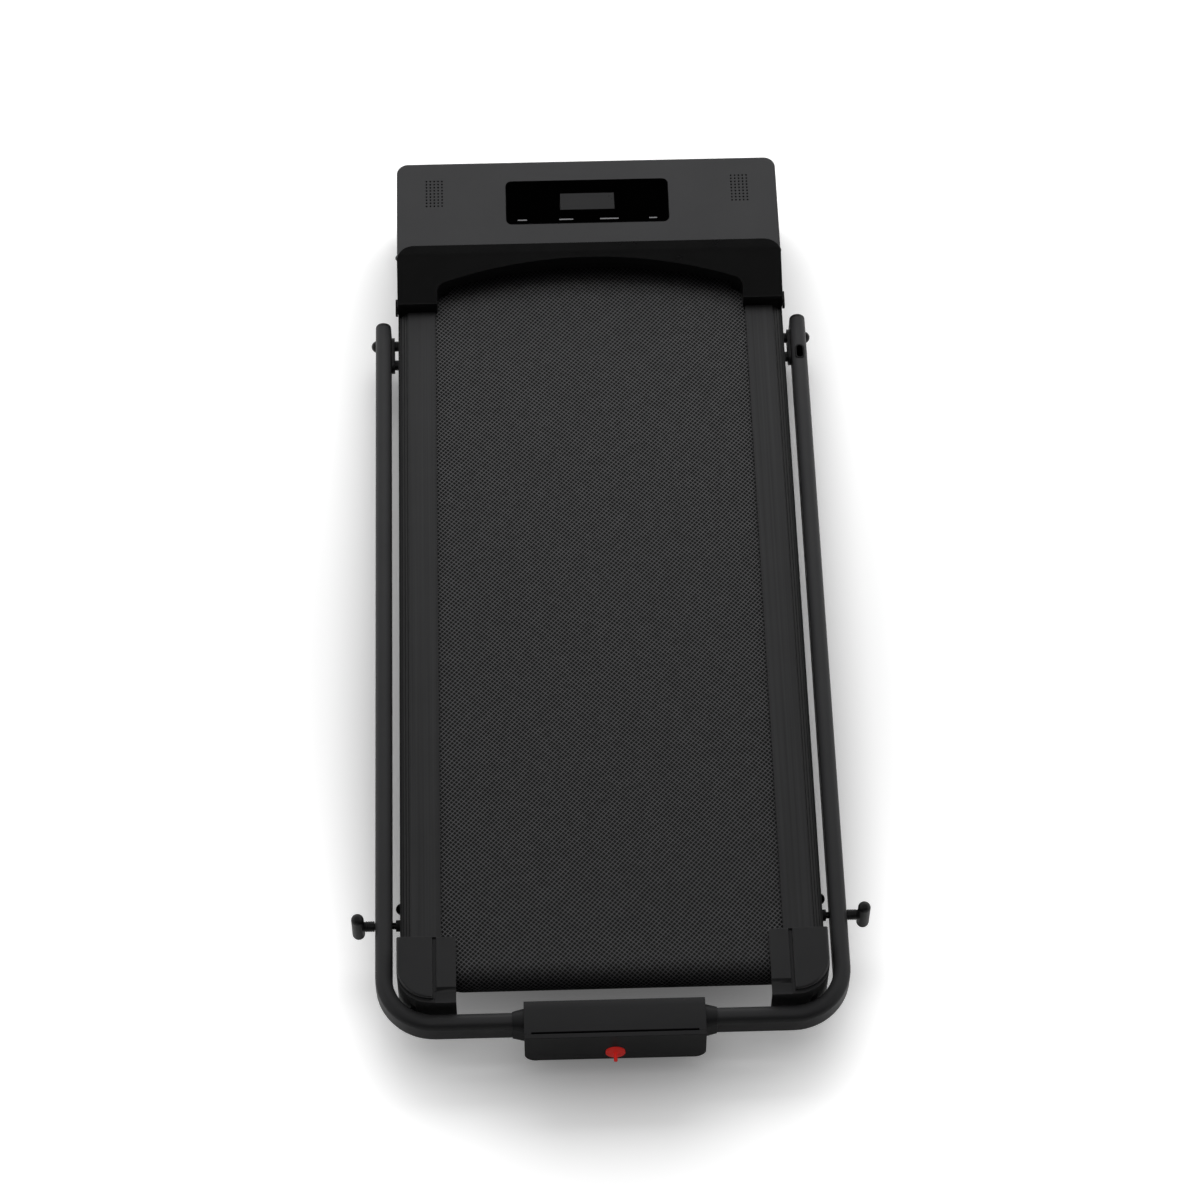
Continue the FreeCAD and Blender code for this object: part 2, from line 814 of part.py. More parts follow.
def hood_shell():
    """Cover over the motor, with a display pocket, speaker grilles and a recess for the mains."""
    outer = plan_prism(hood_plan(0, 0, hood_rear_y), hood_bottom, hood_height)
    rim = []
    for edge in edges_at_height(outer, hood_height):
        if edge.CenterOfMass.y > hood_rear_y + same_place:
            rim.append(edge)
    outer = outer.makeFillet(hood_edge_radius, rim)
    inner = plan_prism(hood_plan(hood_side_wall, hood_front_wall, hood_rear_y - cut_overrun),
                       hood_bottom - cut_overrun, hood_ceiling_z)
    shell = outer.cut(inner)
    bosses = []
    for x in (-board_boss_x, board_boss_x):
        for y in (display_y - board_boss_y, display_y + board_boss_y):
            bosses.append(rod_z(hood_ceiling_z - board_boss_height, hood_ceiling_z, x, y,
                                board_boss_radius))
    shell = shell.multiFuse(bosses)
    mouth = service_mouth(front_y - hood_front_wall - cut_overrun)
    pocket_x = display_width / 2 + display_clearance
    pocket_y = display_depth / 2 + display_clearance
    pocket = plan_prism(rectangle(-pocket_x, pocket_x, display_y - pocket_y, display_y + pocket_y,
                                  display_corner_radius + display_clearance),
                        hood_height - display_pocket, hood_height + cut_overrun)
    window = box(-lcd_width / 2 + lcd_ledge, lcd_width / 2 - lcd_ledge,
                 display_y - lcd_depth / 2 + lcd_ledge, display_y + lcd_depth / 2 - lcd_ledge,
                 hood_ceiling_z - cut_overrun, hood_height)
    cuts = [mouth, pocket, window]
    for side in (-1, 1):
        cuts.extend(grille_holes(side))
    cuts.append(rod_x(-rail_outer_x - cut_overrun, rail_outer_x + cut_overrun,
                      front_y - hood_screw_setback, hood_screw_z, hood_screw_shank_radius + seat_clearance))
    return shell.cut(cuts)


def hood_screws():
    y = front_y - hood_screw_setback
    head = dome_x(rail_outer_x, rail_outer_x + hood_screw_height, y, hood_screw_z, hood_screw_radius)
    shank = rod_x(rail_outer_x - hood_screw_length, rail_outer_x, y, hood_screw_z, hood_screw_shank_radius)
    return both_sides(head.fuse(shank))


def belly_pan():
    """Tray under the motor bed, with two ears that carry the transport wheels."""
    pan = box(-pan_half_width, pan_half_width, hood_rear_y, front_y - pan_front_gap,
              pan_bottom_z, pan_top_z)
    ears = []
    holes = []
    for x0 in (-pan_half_width, pan_half_width - pan_thickness):
        ears.append(box(x0, x0 + pan_thickness, wheel_y - pan_ear_length / 2, wheel_y + pan_ear_length / 2,
                        pan_bottom_z, pan_top_z + pan_ear_height))
        holes.append(rod_x(x0 - cut_overrun, x0 + pan_thickness + cut_overrun, wheel_y, wheel_z,
                           wheel_axle_radius + seat_clearance))
    return pan.multiFuse(ears).cut(holes)


def display_lens():
    half_width = display_width / 2
    half_depth = display_depth / 2
    lens = plan_prism(rectangle(-half_width, half_width, display_y - half_depth, display_y + half_depth,
                                display_corner_radius),
                      hood_height - display_pocket, hood_height + display_proud)
    opening = box(-lcd_width / 2 - display_clearance, lcd_width / 2 + display_clearance,
                  display_y - lcd_depth / 2 - display_clearance,
                  display_y + lcd_depth / 2 + display_clearance,
                  hood_height - display_pocket - cut_overrun, hood_height + cut_overrun)
    return lens.cut(opening)


def lcd_window():
    return box(-lcd_width / 2, lcd_width / 2, display_y - lcd_depth / 2, display_y + lcd_depth / 2,
               hood_height - display_pocket, hood_height + display_proud - lcd_sunk)


def display_board():
    top_z = hood_ceiling_z - board_boss_height
    half_width = display_width / 2 - circuit_margin
    half_depth = display_depth / 2 - circuit_margin
    return box(-half_width, half_width, display_y - half_depth, display_y + half_depth,
               top_z - circuit_thickness, top_z)


def speakers():
    rim_z = hood_ceiling_z - speaker_rim_height
    rim = rod_z(rim_z, hood_ceiling_z, grille_x, grille_y, speaker_rim_radius)
    magnet = rod_z(rim_z - speaker_magnet_height, rim_z, grille_x, grille_y, speaker_magnet_radius)
    return both_sides(rim.fuse(magnet))


def arch_opening(inset, z0, z1):
    """The mouth over the belt, as a prism: two straight legs under a shallow arc."""
    half_width = arch_half_width + inset
    crown_y = hood_line_y - arch_crown_depth + inset
    spring_y = crown_y - arch_sagitta
    mouth_y = apron_end_y - cut_overrun
    edges = [
        Part.makeLine(vec(-half_width, mouth_y, z0), vec(-half_width, spring_y, z0)),
        Part.Arc(vec(-half_width, spring_y, z0), vec(0, crown_y, z0),
                 vec(half_width, spring_y, z0)).toShape(),
        Part.makeLine(vec(half_width, spring_y, z0), vec(half_width, mouth_y, z0)),
        Part.makeLine(vec(half_width, mouth_y, z0), vec(-half_width, mouth_y, z0)),
    ]
    prism = Part.Face(Part.Wire(edges)).extrude(vec(0, 0, z1 - z0))
    corners = []
    for edge in prism.Edges:
        spot = edge.CenterOfMass
        upright = edge.BoundBox.ZLength > same_place
        if upright and abs(spot.y - spring_y) < same_place:
            corners.append(edge)
    return prism.makeFillet(arch_corner_radius, corners)


def hood_apron():
    """Arched trim: a flange on the hood, a sloping top, and two legs that stand on the frame."""
    profile = [
        (hood_line_y, hood_height, 0),
        (hood_line_y, apron_top_z, 0),
        (hood_rear_y, apron_top_z, apron_bend_radius),
        (apron_end_y, leg_top_z, apron_edge_radius),
        (apron_end_y, member_top_z, 0),
        (hood_rear_y, member_top_z, 0),
        (hood_rear_y, hood_height, 0),
    ]
    plan = [
        (-rail_outer_x, apron_end_y, 0),
        (rail_outer_x, apron_end_y, 0),
        (rail_outer_x, hood_line_y, apron_corner_radius),
        (-rail_outer_x, hood_line_y, apron_corner_radius),
    ]
    body = side_prism(profile, -rail_outer_x, rail_outer_x)
    body = body.common(plan_prism(plan, member_top_z, apron_top_z))
    low_z = member_top_z - cut_overrun
    high_z = apron_top_z + cut_overrun
    body = body.cut(arch_opening(0, low_z, high_z))
    fall = (apron_top_z - leg_top_z) / (hood_rear_y - apron_end_y)
    inner_profile = [
        (hood_rear_y + cut_overrun, apron_top_z - apron_wall, 0),
        (hood_rear_y, apron_top_z - apron_wall, 0),
        (apron_end_y + apron_wall, leg_top_z + fall * apron_wall - apron_wall, 0),
        (apron_end_y + apron_wall, low_z, 0),
        (hood_rear_y + cut_overrun, low_z, 0),
    ]
    inside_x = rail_outer_x - apron_wall
    hollow = side_prism(inner_profile, -inside_x, inside_x).cut(arch_opening(apron_wall, low_z, high_z))
    past_end_y = apron_end_y - cut_overrun
    over_belt = box(-member_inner_x, member_inner_x, past_end_y, hood_rear_y + cut_overrun, low_z,
                    belt_top_z + cap_belt_gap)
    crown_y = hood_line_y - arch_crown_depth
    crown_z = apron_top_z - fall * (hood_rear_y - crown_y)
    under_lip = box(-arch_half_width + arch_corner_radius, arch_half_width - arch_corner_radius, past_end_y,
                    hood_rear_y + cut_overrun, low_z, crown_z - arch_lip_height)
    body = body.cut([hollow, over_belt, under_lip])
    lug_y = apron_end_y - apron_lug_overhang
    lug = box(rail_outer_x, rail_outer_x + apron_lug_proud, lug_y, lug_y + apron_lug_length,
              deck_height - apron_lug_drop, deck_height + apron_lug_rise)
    return body.multiFuse([lug, mirrored(lug)])


def motor_body():
    y = motor_y
    right_x = motor_left_x + motor_length
    can = rod_x(motor_left_x, right_x, y, motor_z, motor_radius)
    bell = rod_x(motor_left_x - motor_bell_length, right_x + motor_bell_length, y, motor_z,
                 motor_radius - motor_bell_inset)
    bore = rod_x(motor_left_x - motor_bell_length - cut_overrun, right_x + motor_bell_length + cut_overrun,
                 y, motor_z, motor_shaft_radius + shaft_clearance)
    return can.fuse(bell).cut(bore)


def motor_mount():
    middle_x = motor_left_x + motor_length / 2
    saddle = box(middle_x - motor_mount_length / 2, middle_x + motor_mount_length / 2,
                 motor_y - motor_mount_depth / 2, motor_y + motor_mount_depth / 2,
                 motor_bed_top_z, motor_z - motor_mount_drop)
    return saddle.cut(rod_x(motor_left_x, motor_left_x + motor_length, motor_y, motor_z,
                            motor_radius + seat_clearance))


def motor_shaft():
    right_x = motor_left_x + motor_length + motor_bell_length + pulley_width
    return rod_x(pulley_x - pulley_width / 2, right_x, motor_y, motor_z, motor_shaft_radius)


def pulley(y, z, radius, bore):
    """A flanged wheel that keeps the drive belt between its rims."""
    rim_radius = radius + running_gap + drive_belt_thickness + pulley_flange_proud
    x0 = pulley_x - pulley_width / 2
    x1 = pulley_x + pulley_width / 2
    core = rod_x(x0, x1, y, z, radius)
    rims = [rod_x(x0, x0 + pulley_flange, y, z, rim_radius), rod_x(x1 - pulley_flange, x1, y, z, rim_radius)]
    hole = rod_x(x0 - cut_overrun, x1 + cut_overrun, y, z, bore + seat_clearance)
    return core.multiFuse(rims).cut(hole)


def driven_pulley():
    return pulley(front_roller_y, roller_z, driven_pulley_radius, front_shaft_radius)


def motor_pulley():
    return pulley(motor_y, motor_z, motor_pulley_radius, motor_shaft_radius)


def drive_loop(thickness):
    """A prism round both pulleys: two arcs and the straight runs that touch them."""
    big_radius = driven_pulley_radius + running_gap + thickness
    small_radius = motor_pulley_radius + running_gap + thickness
    x0 = pulley_x - drive_belt_width / 2
    big = vec(x0, front_roller_y, roller_z)
    small = vec(x0, motor_y, motor_z)
    distance = big.distanceToPoint(small)
    heading = math.atan2(motor_z - roller_z, motor_y - front_roller_y)
    opening = math.acos((big_radius - small_radius) / distance)

    def rim_point(centre, radius, angle):
        return centre + vec(0, radius * math.cos(angle), radius * math.sin(angle))

    upper = heading + opening
    lower = heading - opening
    edges = [
        Part.makeLine(rim_point(big, big_radius, upper), rim_point(small, small_radius, upper)),
        Part.Arc(rim_point(small, small_radius, upper), rim_point(small, small_radius, heading),
                 rim_point(small, small_radius, lower)).toShape(),
        Part.makeLine(rim_point(small, small_radius, lower), rim_point(big, big_radius, lower)),
        Part.Arc(rim_point(big, big_radius, lower), rim_point(big, big_radius, heading + math.pi),
                 rim_point(big, big_radius, upper)).toShape(),
    ]
    return Part.Face(Part.Wire(edges)).extrude(vec(drive_belt_width, 0, 0))


def drive_belt():
    return drive_loop(drive_belt_thickness).cut(drive_loop(0))


def motor_controller():
    """Circuit carrier with a row of cooling fins, on the motor bed."""
    x0 = controller_x - controller_width / 2
    y0 = motor_bed_rear_y
    y1 = member_front_y
    base_top_z = motor_bed_top_z + controller_base
    base = box(x0, x0 + controller_width, y0, y1, motor_bed_top_z, base_top_z)
    pitch = (controller_width - controller_fin_thickness) / (controller_fin_count - 1)
    fins = []
    for index in range(controller_fin_count):
        fin_x = x0 + index * pitch
        fins.append(box(fin_x, fin_x + controller_fin_thickness, y0, y1, motor_bed_top_z,
                        base_top_z + controller_fin_height))
    return base.multiFuse(fins)


def power_inlet():
    x = service_places()[0]
    flange_y = service_face_y + service_flange
    flange = box(x - inlet_flange_width / 2, x + inlet_flange_width / 2, service_face_y, flange_y,
                 service_z - inlet_flange_height / 2, service_z + inlet_flange_height / 2)
    back_y = service_face_y - inlet_depth
    body = box(x - inlet_width / 2, x + inlet_width / 2, back_y, service_face_y,
               service_z - inlet_height / 2, service_z + inlet_height / 2)
    floor_y = back_y + inlet_back
    socket = box(x - inlet_width / 2 + inlet_wall, x + inlet_width / 2 - inlet_wall, floor_y,
                 flange_y + cut_overrun, service_z - inlet_height / 2 + inlet_wall,
                 service_z + inlet_height / 2 - inlet_wall)
    pins = []
    for step in (-1, 0, 1):
        pin_x = x + step * inlet_pin_spacing
        pin_z = service_z + inlet_pin_drop * (1 - 2 * abs(step))
        pins.append(box(pin_x - inlet_pin_width / 2, pin_x + inlet_pin_width / 2, floor_y,
                        floor_y + inlet_pin_length, pin_z - inlet_pin_height / 2,
                        pin_z + inlet_pin_height / 2))
    return flange.fuse(body).cut(socket).multiFuse(pins)


def rocker_axis_y():
    return service_face_y - rocker_axis_sunk


def switch_housings():
    """Frame with a round pocket for the rocker, and the bush that guides the breaker button."""
    rocker_x, breaker_x = service_places()[1:]
    half_length = rocker_length / 2 + switch_wall
    half_height = rocker_radius + switch_wall
    body = box(rocker_x - half_length, rocker_x + half_length, service_face_y - switch_depth,
               service_face_y, service_z - half_height, service_z + half_height)
    flange = box(rocker_x - half_length - switch_flange_margin, rocker_x + half_length + switch_flange_margin,
                 service_face_y, service_face_y + service_flange,
                 service_z - half_height - switch_flange_margin,
                 service_z + half_height + switch_flange_margin)
    pocket = rod_x(rocker_x - rocker_length / 2 - running_gap, rocker_x + rocker_length / 2 + running_gap,
                   rocker_axis_y(), service_z, rocker_radius + running_gap)
    frame = flange.fuse(body).cut(pocket)
    collar_y = service_face_y + breaker_bush_flange
    collar = rod_y(service_face_y, collar_y, breaker_x, service_z, breaker_bush_flange_radius)
    sleeve = rod_y(service_face_y - breaker_bush_depth, service_face_y, breaker_x, service_z,
                   breaker_bush_radius)
    bore_floor_y = collar_y + breaker_proud - breaker_length - breaker_travel - running_gap
    bore = rod_y(bore_floor_y, collar_y + cut_overrun, breaker_x, service_z, breaker_radius + shaft_clearance)
    return Part.makeCompound([frame, collar.fuse(sleeve).cut(bore)])


def power_rocker():
    """A drum with a bent face: its upper half stands proud until it is pressed."""
    x = service_places()[1]
    y = rocker_axis_y()
    drum = rod_x(x - rocker_length / 2, x + rocker_length / 2, y, service_z, rocker_radius)
    reach = rocker_radius + cut_overrun
    lean = reach * math.tan(math.radians(rocker_throw))
    face = [
        (y - reach, service_z - reach, 0),
        (y + rocker_face, service_z - reach, 0),
        (y + rocker_face, service_z, 0),
        (y + rocker_face + lean, service_z + reach, 0),
        (y - reach, service_z + reach, 0),
    ]
    return drum.common(side_prism(face, x - rocker_length, x + rocker_length))


def breaker_button():
    end_y = service_face_y + breaker_bush_flange + breaker_proud
    return rod_y(end_y - breaker_length, end_y, service_places()[2], service_z, breaker_radius)


def transport_wheel():
    middle_x = wheel_inner_x + wheel_width / 2
    tyre = ring_x(wheel_inner_x, wheel_inner_x + wheel_width, wheel_y, wheel_z, wheel_radius,
                  wheel_axle_radius + shaft_clearance)
    groove = ring_x(middle_x - wheel_groove_width / 2, middle_x + wheel_groove_width / 2, wheel_y, wheel_z,
                    wheel_radius + cut_overrun, wheel_radius - wheel_groove)
    return tyre.cut(groove)


def wheel_axles():
    """Shoulder bolts: a collar on the ear, the wheel's journal, and a head outside it."""
    wheel_outer_x = wheel_inner_x + wheel_width
    head_x = wheel_outer_x + running_gap
    shank = rod_x(pan_half_width - pan_thickness, head_x, wheel_y, wheel_z, wheel_axle_radius)
    collar = rod_x(pan_half_width, wheel_inner_x - running_gap, wheel_y, wheel_z, wheel_axle_head_radius)
    head = rod_x(head_x, head_x + wheel_axle_head, wheel_y, wheel_z, wheel_axle_head_radius)
    return both_sides(shank.multiFuse([collar, head]))


def rubber_feet():
    """Four tapered rubber feet under the side members."""
    feet = []
    for x in (-member_x, member_x):
        for y in (front_y - foot_front_setback, rear_y + foot_rear_inset):
            feet.append(Part.makeCone(foot_radius - foot_flare, foot_radius, member_bottom_z, vec(x, y, 0)))
    return Part.makeCompound(feet)


def tube_run(width, height, over):
    """The handrail's solid core: two side runs, two bends and the crossbar."""
    bend_y = crossbar_y + bend_radius
    straight_x = tube_x - bend_radius
    side_face = stadium(vec(tube_x, bend_y, tube_z), X_AXIS, Z_AXIS, width, height)
    side = side_face.extrude(vec(0, tube_end_y + over - bend_y, 0))
    bend = side_face.revolve(vec(straight_x, bend_y, tube_z), Z_AXIS, -90)
    cross_face = stadium(vec(-straight_x, crossbar_y, tube_z), Y_AXIS, Z_AXIS, width, height)
    crossbar = cross_face.extrude(vec(2 * straight_x, 0, 0))
    return crossbar.multiFuse([side, bend, mirrored(side), mirrored(bend)]).removeSplitter()


def handrail_tube():
    tube = tube_run(tube_width, tube_height, 0)
    tube = tube.cut(tube_run(tube_width - 2 * tube_wall, tube_height - 2 * tube_wall, cut_overrun))
    through = (tube_inner_x - cut_overrun, tube_outer_x + cut_overrun)
    pivot_hole = rod_x(*through, pivot_y, tube_z, pivot_bush_radius + seat_clearance)
    clamp_hole = rod_x(*through, knob_y, tube_z, clamp_bush_radius + seat_clearance)
    slot = stadium(vec(tube_x, grommet_y, tube_z), X_AXIS, Y_AXIS, grommet_width + 2 * seat_clearance,
                   grommet_length + 2 * seat_clearance).extrude(vec(0, 0, tube_height))
    return tube.cut([pivot_hole, mirrored(pivot_hole), clamp_hole, mirrored(clamp_hole), slot])


def tube_plugs():
    """Plastic ends pushed into the front of both tubes, with a rounded head."""
    bore_width = tube_width - 2 * (tube_wall + seat_clearance)
    bore_height = tube_height - 2 * (tube_wall + seat_clearance)
    head = stadium(vec(tube_x, tube_end_y, tube_z), X_AXIS, Z_AXIS, tube_width, tube_height)
    head = head.extrude(vec(0, plug_head, 0))
    front = [edge for edge in head.Edges if edge.BoundBox.YMin > tube_end_y + plug_head - same_place]
    head = head.makeFillet(plug_edge_radius, front)
    insert = stadium(vec(tube_x, tube_end_y - plug_insert, tube_z), X_AXIS, Z_AXIS, bore_width, bore_height)
    insert = insert.extrude(vec(0, plug_insert, 0))
    clear_of_bush = rod_x(tube_inner_x, tube_outer_x, pivot_y, tube_z, pivot_bush_radius + running_gap)
    return both_sides(head.fuse(insert).cut(clear_of_bush))


def pivot_bushes():
    return both_sides(ring_x(tube_inner_x, tube_outer_x, pivot_y, tube_z, pivot_bush_radius,
                             pivot_radius + shaft_clearance))


def clamp_bushes():
    return both_sides(ring_x(tube_inner_x, tube_outer_x, knob_y, tube_z, clamp_bush_radius,
                             screw_radius + shaft_clearance))


def bracket_outer_x():
    return tube_inner_x - running_gap


def pivot_bracket():
    """Round-ended plate beside the tube, on two standoffs against the side member."""
    plate_x = bracket_outer_x() - bracket_thickness
    middle = vec(plate_x, pivot_y - bracket_bolt_spacing / 2, tube_z)
    plate = stadium(middle, Z_AXIS, Y_AXIS, 2 * bracket_end_radius,
                    bracket_bolt_spacing + 2 * bracket_end_radius).extrude(vec(bracket_thickness, 0, 0))
    bolt_y = pivot_y - bracket_bolt_spacing
    standoffs = [rod_x(member_outer_x, plate_x, y, tube_z, standoff_radius) for y in (pivot_y, bolt_y)]
    through = (member_outer_x - cut_overrun, tube_inner_x + cut_overrun)
    holes = [rod_x(*through, pivot_y, tube_z, pivot_radius + seat_clearance),
             rod_x(*through, bolt_y, tube_z, bracket_bolt_radius + seat_clearance)]
    return plate.multiFuse(standoffs).cut(holes)


def pivot_bolts():
    """Welded studs: the long pivots of the handrail, and the short ones behind them."""
    wall_x = member_outer_x - member_wall
    nut_x = tube_outer_x + running_gap
    bolt_y = pivot_y - bracket_bolt_spacing
    solids = []
    for y, radius, end_x in ((pivot_y, pivot_radius, nut_x + dome_nut_bore),
                             (bolt_y, bracket_bolt_radius, bracket_outer_x())):
        flange = rod_x(wall_x - bolt_flange, wall_x, y, tube_z, bolt_flange_radius)
        stud = flange.fuse(rod_x(wall_x, end_x, y, tube_z, radius))
        solids.extend([stud, mirrored(stud)])
    return Part.makeCompound(solids)


def dome_nuts():
    nut_x = tube_outer_x + running_gap
    nut = dome_x(nut_x, nut_x + dome_nut_height, pivot_y, tube_z, dome_nut_radius)
    bore = rod_x(nut_x - cut_overrun, nut_x + dome_nut_bore, pivot_y, tube_z, pivot_radius + seat_clearance)
    return both_sides(nut.cut(bore))


def rail_bolts():
    """Domed bolts in the side members, a little ahead of the lock knobs."""
    y = knob_y + rail_bolt_lead
    head = dome_x(member_outer_x, member_outer_x + rail_bolt_height, y, tube_z, rail_bolt_radius)
    shank = rod_x(member_x, member_outer_x, y, tube_z, rail_bolt_shank_radius)
    return both_sides(head.fuse(shank))


def pad_inner_x():
    return member_outer_x + running_gap


def clamp_foot():
    """Swivel pad on the screw's tip, which bears on the side member."""
    inner_x = pad_inner_x()
    pad = rod_x(inner_x, inner_x + foot_pad_thickness, knob_y, tube_z, foot_pad_radius)
    socket = rod_x(inner_x + foot_pad_floor, inner_x + foot_pad_thickness + cut_overrun, knob_y, tube_z,
                   screw_radius + shaft_clearance)
    return pad.cut(socket)


def lock_screw():
    hub_x = tube_outer_x + hub_gap
    return rod_x(pad_inner_x() + foot_pad_floor + running_gap, hub_x + hub_bore, knob_y, tube_z, screw_radius)


def lock_knob():
    """Moulded T: a round hub and an upright handle with ball ends."""
    hub_x = tube_outer_x + hub_gap
    handle_x = hub_x + hub_length + handle_radius
    half_run = handle_length / 2 - handle_radius
    hub = rod_x(hub_x, handle_x, knob_y, tube_z, hub_radius)
    solids = [rod_z(tube_z - half_run, tube_z + half_run, handle_x, knob_y, handle_radius)]
    for z in (tube_z - half_run, tube_z + half_run):
        solids.append(Part.makeSphere(handle_radius, vec(handle_x, knob_y, z)))
    bore = rod_x(hub_x - cut_overrun, hub_x + hub_bore + running_gap, knob_y, tube_z,
                 screw_radius + seat_clearance)
    return hub.multiFuse(solids).cut(bore)


def crossbar_hole(x0, x1):
    """The flat-oval hole that the crossbar passes through."""
    face = stadium(vec(x0, crossbar_y, tube_z), Y_AXIS, Z_AXIS, tube_width + 2 * seat_clearance,
                   tube_height + 2 * seat_clearance)
    return face.extrude(vec(x1 - x0, 0, 0))


def on_console_back(shape):
    """Stands a piece made along -Y from the origin on the leaning rear face, at the key's place."""
    shape.rotate(ORIGIN, X_AXIS, -math.degrees(lean_angle))
    shape.translate(vec(0, key_face_y, key_z))
    return shape


def console_housing():
    """Open box round the crossbar: its leaning rear wall ends in a strip, and has a recess for the key."""
    block = section_prism([
        (-console_end_x, console_bottom_z, console_corner_radius),
        (console_end_x, console_bottom_z, console_corner_radius),
        (console_end_x, console_top_z, 0),
        (-console_end_x, console_top_z, 0),
    ], console_bottom_rear_y, console_front_y)
    past = console_end_x + cut_overrun
    behind = side_prism([
        (console_top_rear_y, console_top_z, 0),
        (console_bottom_rear_y, console_bottom_z, 0),
        (console_bottom_rear_y - cut_overrun, console_bottom_z, 0),
        (console_bottom_rear_y - cut_overrun, console_top_z, 0),
    ], -past, past)
    inside_x = console_end_x - console_wall
    slant = console_wall / math.cos(lean_angle)
    floor_z = console_bottom_z + console_wall
    rim_rear_y = console_top_rear_y - lid_thickness * math.tan(lean_angle)
    hollow = side_prism([
        (console_front_y - console_wall, floor_z, 0),
        (console_front_y - console_wall, console_rim_z, 0),
        (rim_rear_y + slant, console_rim_z, 0),
        (console_bottom_rear_y + console_wall * math.tan(lean_angle) + slant, floor_z, 0),
    ], -inside_x, inside_x)
    lid_seat = box(-past, past, console_strip_y, console_front_y + cut_overrun, console_rim_z,
                   console_top_z + cut_overrun)
    recess = on_console_back(rod_y(-cut_overrun, key_recess, 0, 0, key_radius + key_recess_margin))
    return block.cut([behind, hollow, lid_seat, crossbar_hole(-past, past), recess])


def console_lid():
    """Flat top panel with a wide bevel along its front edge and a slot along its rear edge."""
    panel = side_prism([
        (console_front_y, console_rim_z, 0),
        (console_front_y, console_top_z - lid_bevel_drop, 0),
        (console_front_y - lid_bevel, console_top_z, 0),
        (console_strip_y, console_top_z, 0),
        (console_strip_y, console_rim_z, 0),
    ], -console_end_x, console_end_x)
    slot_x = console_end_x - lid_slot_inset
    slot = box(-slot_x, slot_x, console_strip_y - cut_overrun, console_strip_y + lid_slot,
               console_rim_z - cut_overrun, console_top_z + cut_overrun)
    return panel.cut(slot)


def console_collars():
    """Tapered sleeves that close the gap between the console's ends and the crossbar."""
    wires = []
    for x, margin in ((console_end_x, collar_wide), (console_end_x + collar_length, collar_narrow)):
        face = stadium(vec(x, crossbar_y, tube_z), Y_AXIS, Z_AXIS, tube_width + 2 * margin,
                       tube_height + 2 * margin)
        wires.append(face.OuterWire)
    sleeve = Part.makeLoft(wires, True, True)
    hole = crossbar_hole(console_end_x - cut_overrun, console_end_x + collar_length + cut_overrun)
    return both_sides(sleeve.cut(hole))


def safety_key():
    """Round magnetic key with a slightly domed face and a pull stub."""
    seat_y = key_recess - running_gap
    disc = rod_y(-key_thickness, seat_y, 0, 0, key_radius)
    ball_radius = (key_radius * key_radius + key_dome * key_dome) / (2 * key_dome)
    disc = disc.common(Part.makeSphere(ball_radius, vec(0, ball_radius - key_thickness, 0)))
    stub = rod_y(-key_reach, seat_y, 0, 0, key_stub_radius)
    return on_console_back(disc.fuse(stub))


def cable_grommet():
    """Oval rubber lining of the slot where a lead would enter the tube."""
    low_z = tube_z + tube_height / 2 - grommet_depth
    high_z = tube_z + tube_height / 2 + grommet_proud
    centre = vec(tube_x, grommet_y, low_z)
    ring = stadium(centre, X_AXIS, Y_AXIS, grommet_width, grommet_length).extrude(vec(0, 0, high_z - low_z))
    hole = stadium(centre, X_AXIS, Y_AXIS, grommet_width - 2 * grommet_wall,
                   grommet_length - 2 * grommet_wall)
    return ring.cut(hole.extrude(vec(0, 0, high_z - low_z)))


os.makedirs("parts", exist_ok=True)

PAIRS = {
    "frame_side": frame_side,
    "side_rail": side_rail,
    "rear_cap": rear_cap,
    "transport_wheel": transport_wheel,
    "pivot_bracket": pivot_bracket,
    "clamp_foot": clamp_foot,
    "lock_screw": lock_screw,
    "lock_knob": lock_knob,
}
SINGLES = [
    frame_cross_members, deck_board, deck_cushions, running_belt, front_roller, front_bearings,
    rear_roller, roller_bearings, rear_axle, roller_adjusters, hood_shell, hood_screws, belly_pan,
    display_lens, lcd_window, display_board, speakers, hood_apron, motor_body, motor_mount,
    motor_shaft, driven_pulley, motor_pulley, drive_belt, motor_controller, service_panel, power_inlet,
    switch_housings, power_rocker, breaker_button, wheel_axles, rubber_feet, handrail_tube,
    tube_plugs, pivot_bushes, clamp_bushes, pivot_bolts, dome_nuts, rail_bolts, console_housing,
    console_lid, console_collars, safety_key, cable_grommet,
]
for name, maker in PAIRS.items():
    save_pair(name, maker())
for maker in SINGLES:
    save(maker.__name__, maker())
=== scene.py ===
import json
import math
import bmesh
import bpy
from mathutils import Matrix, Vector

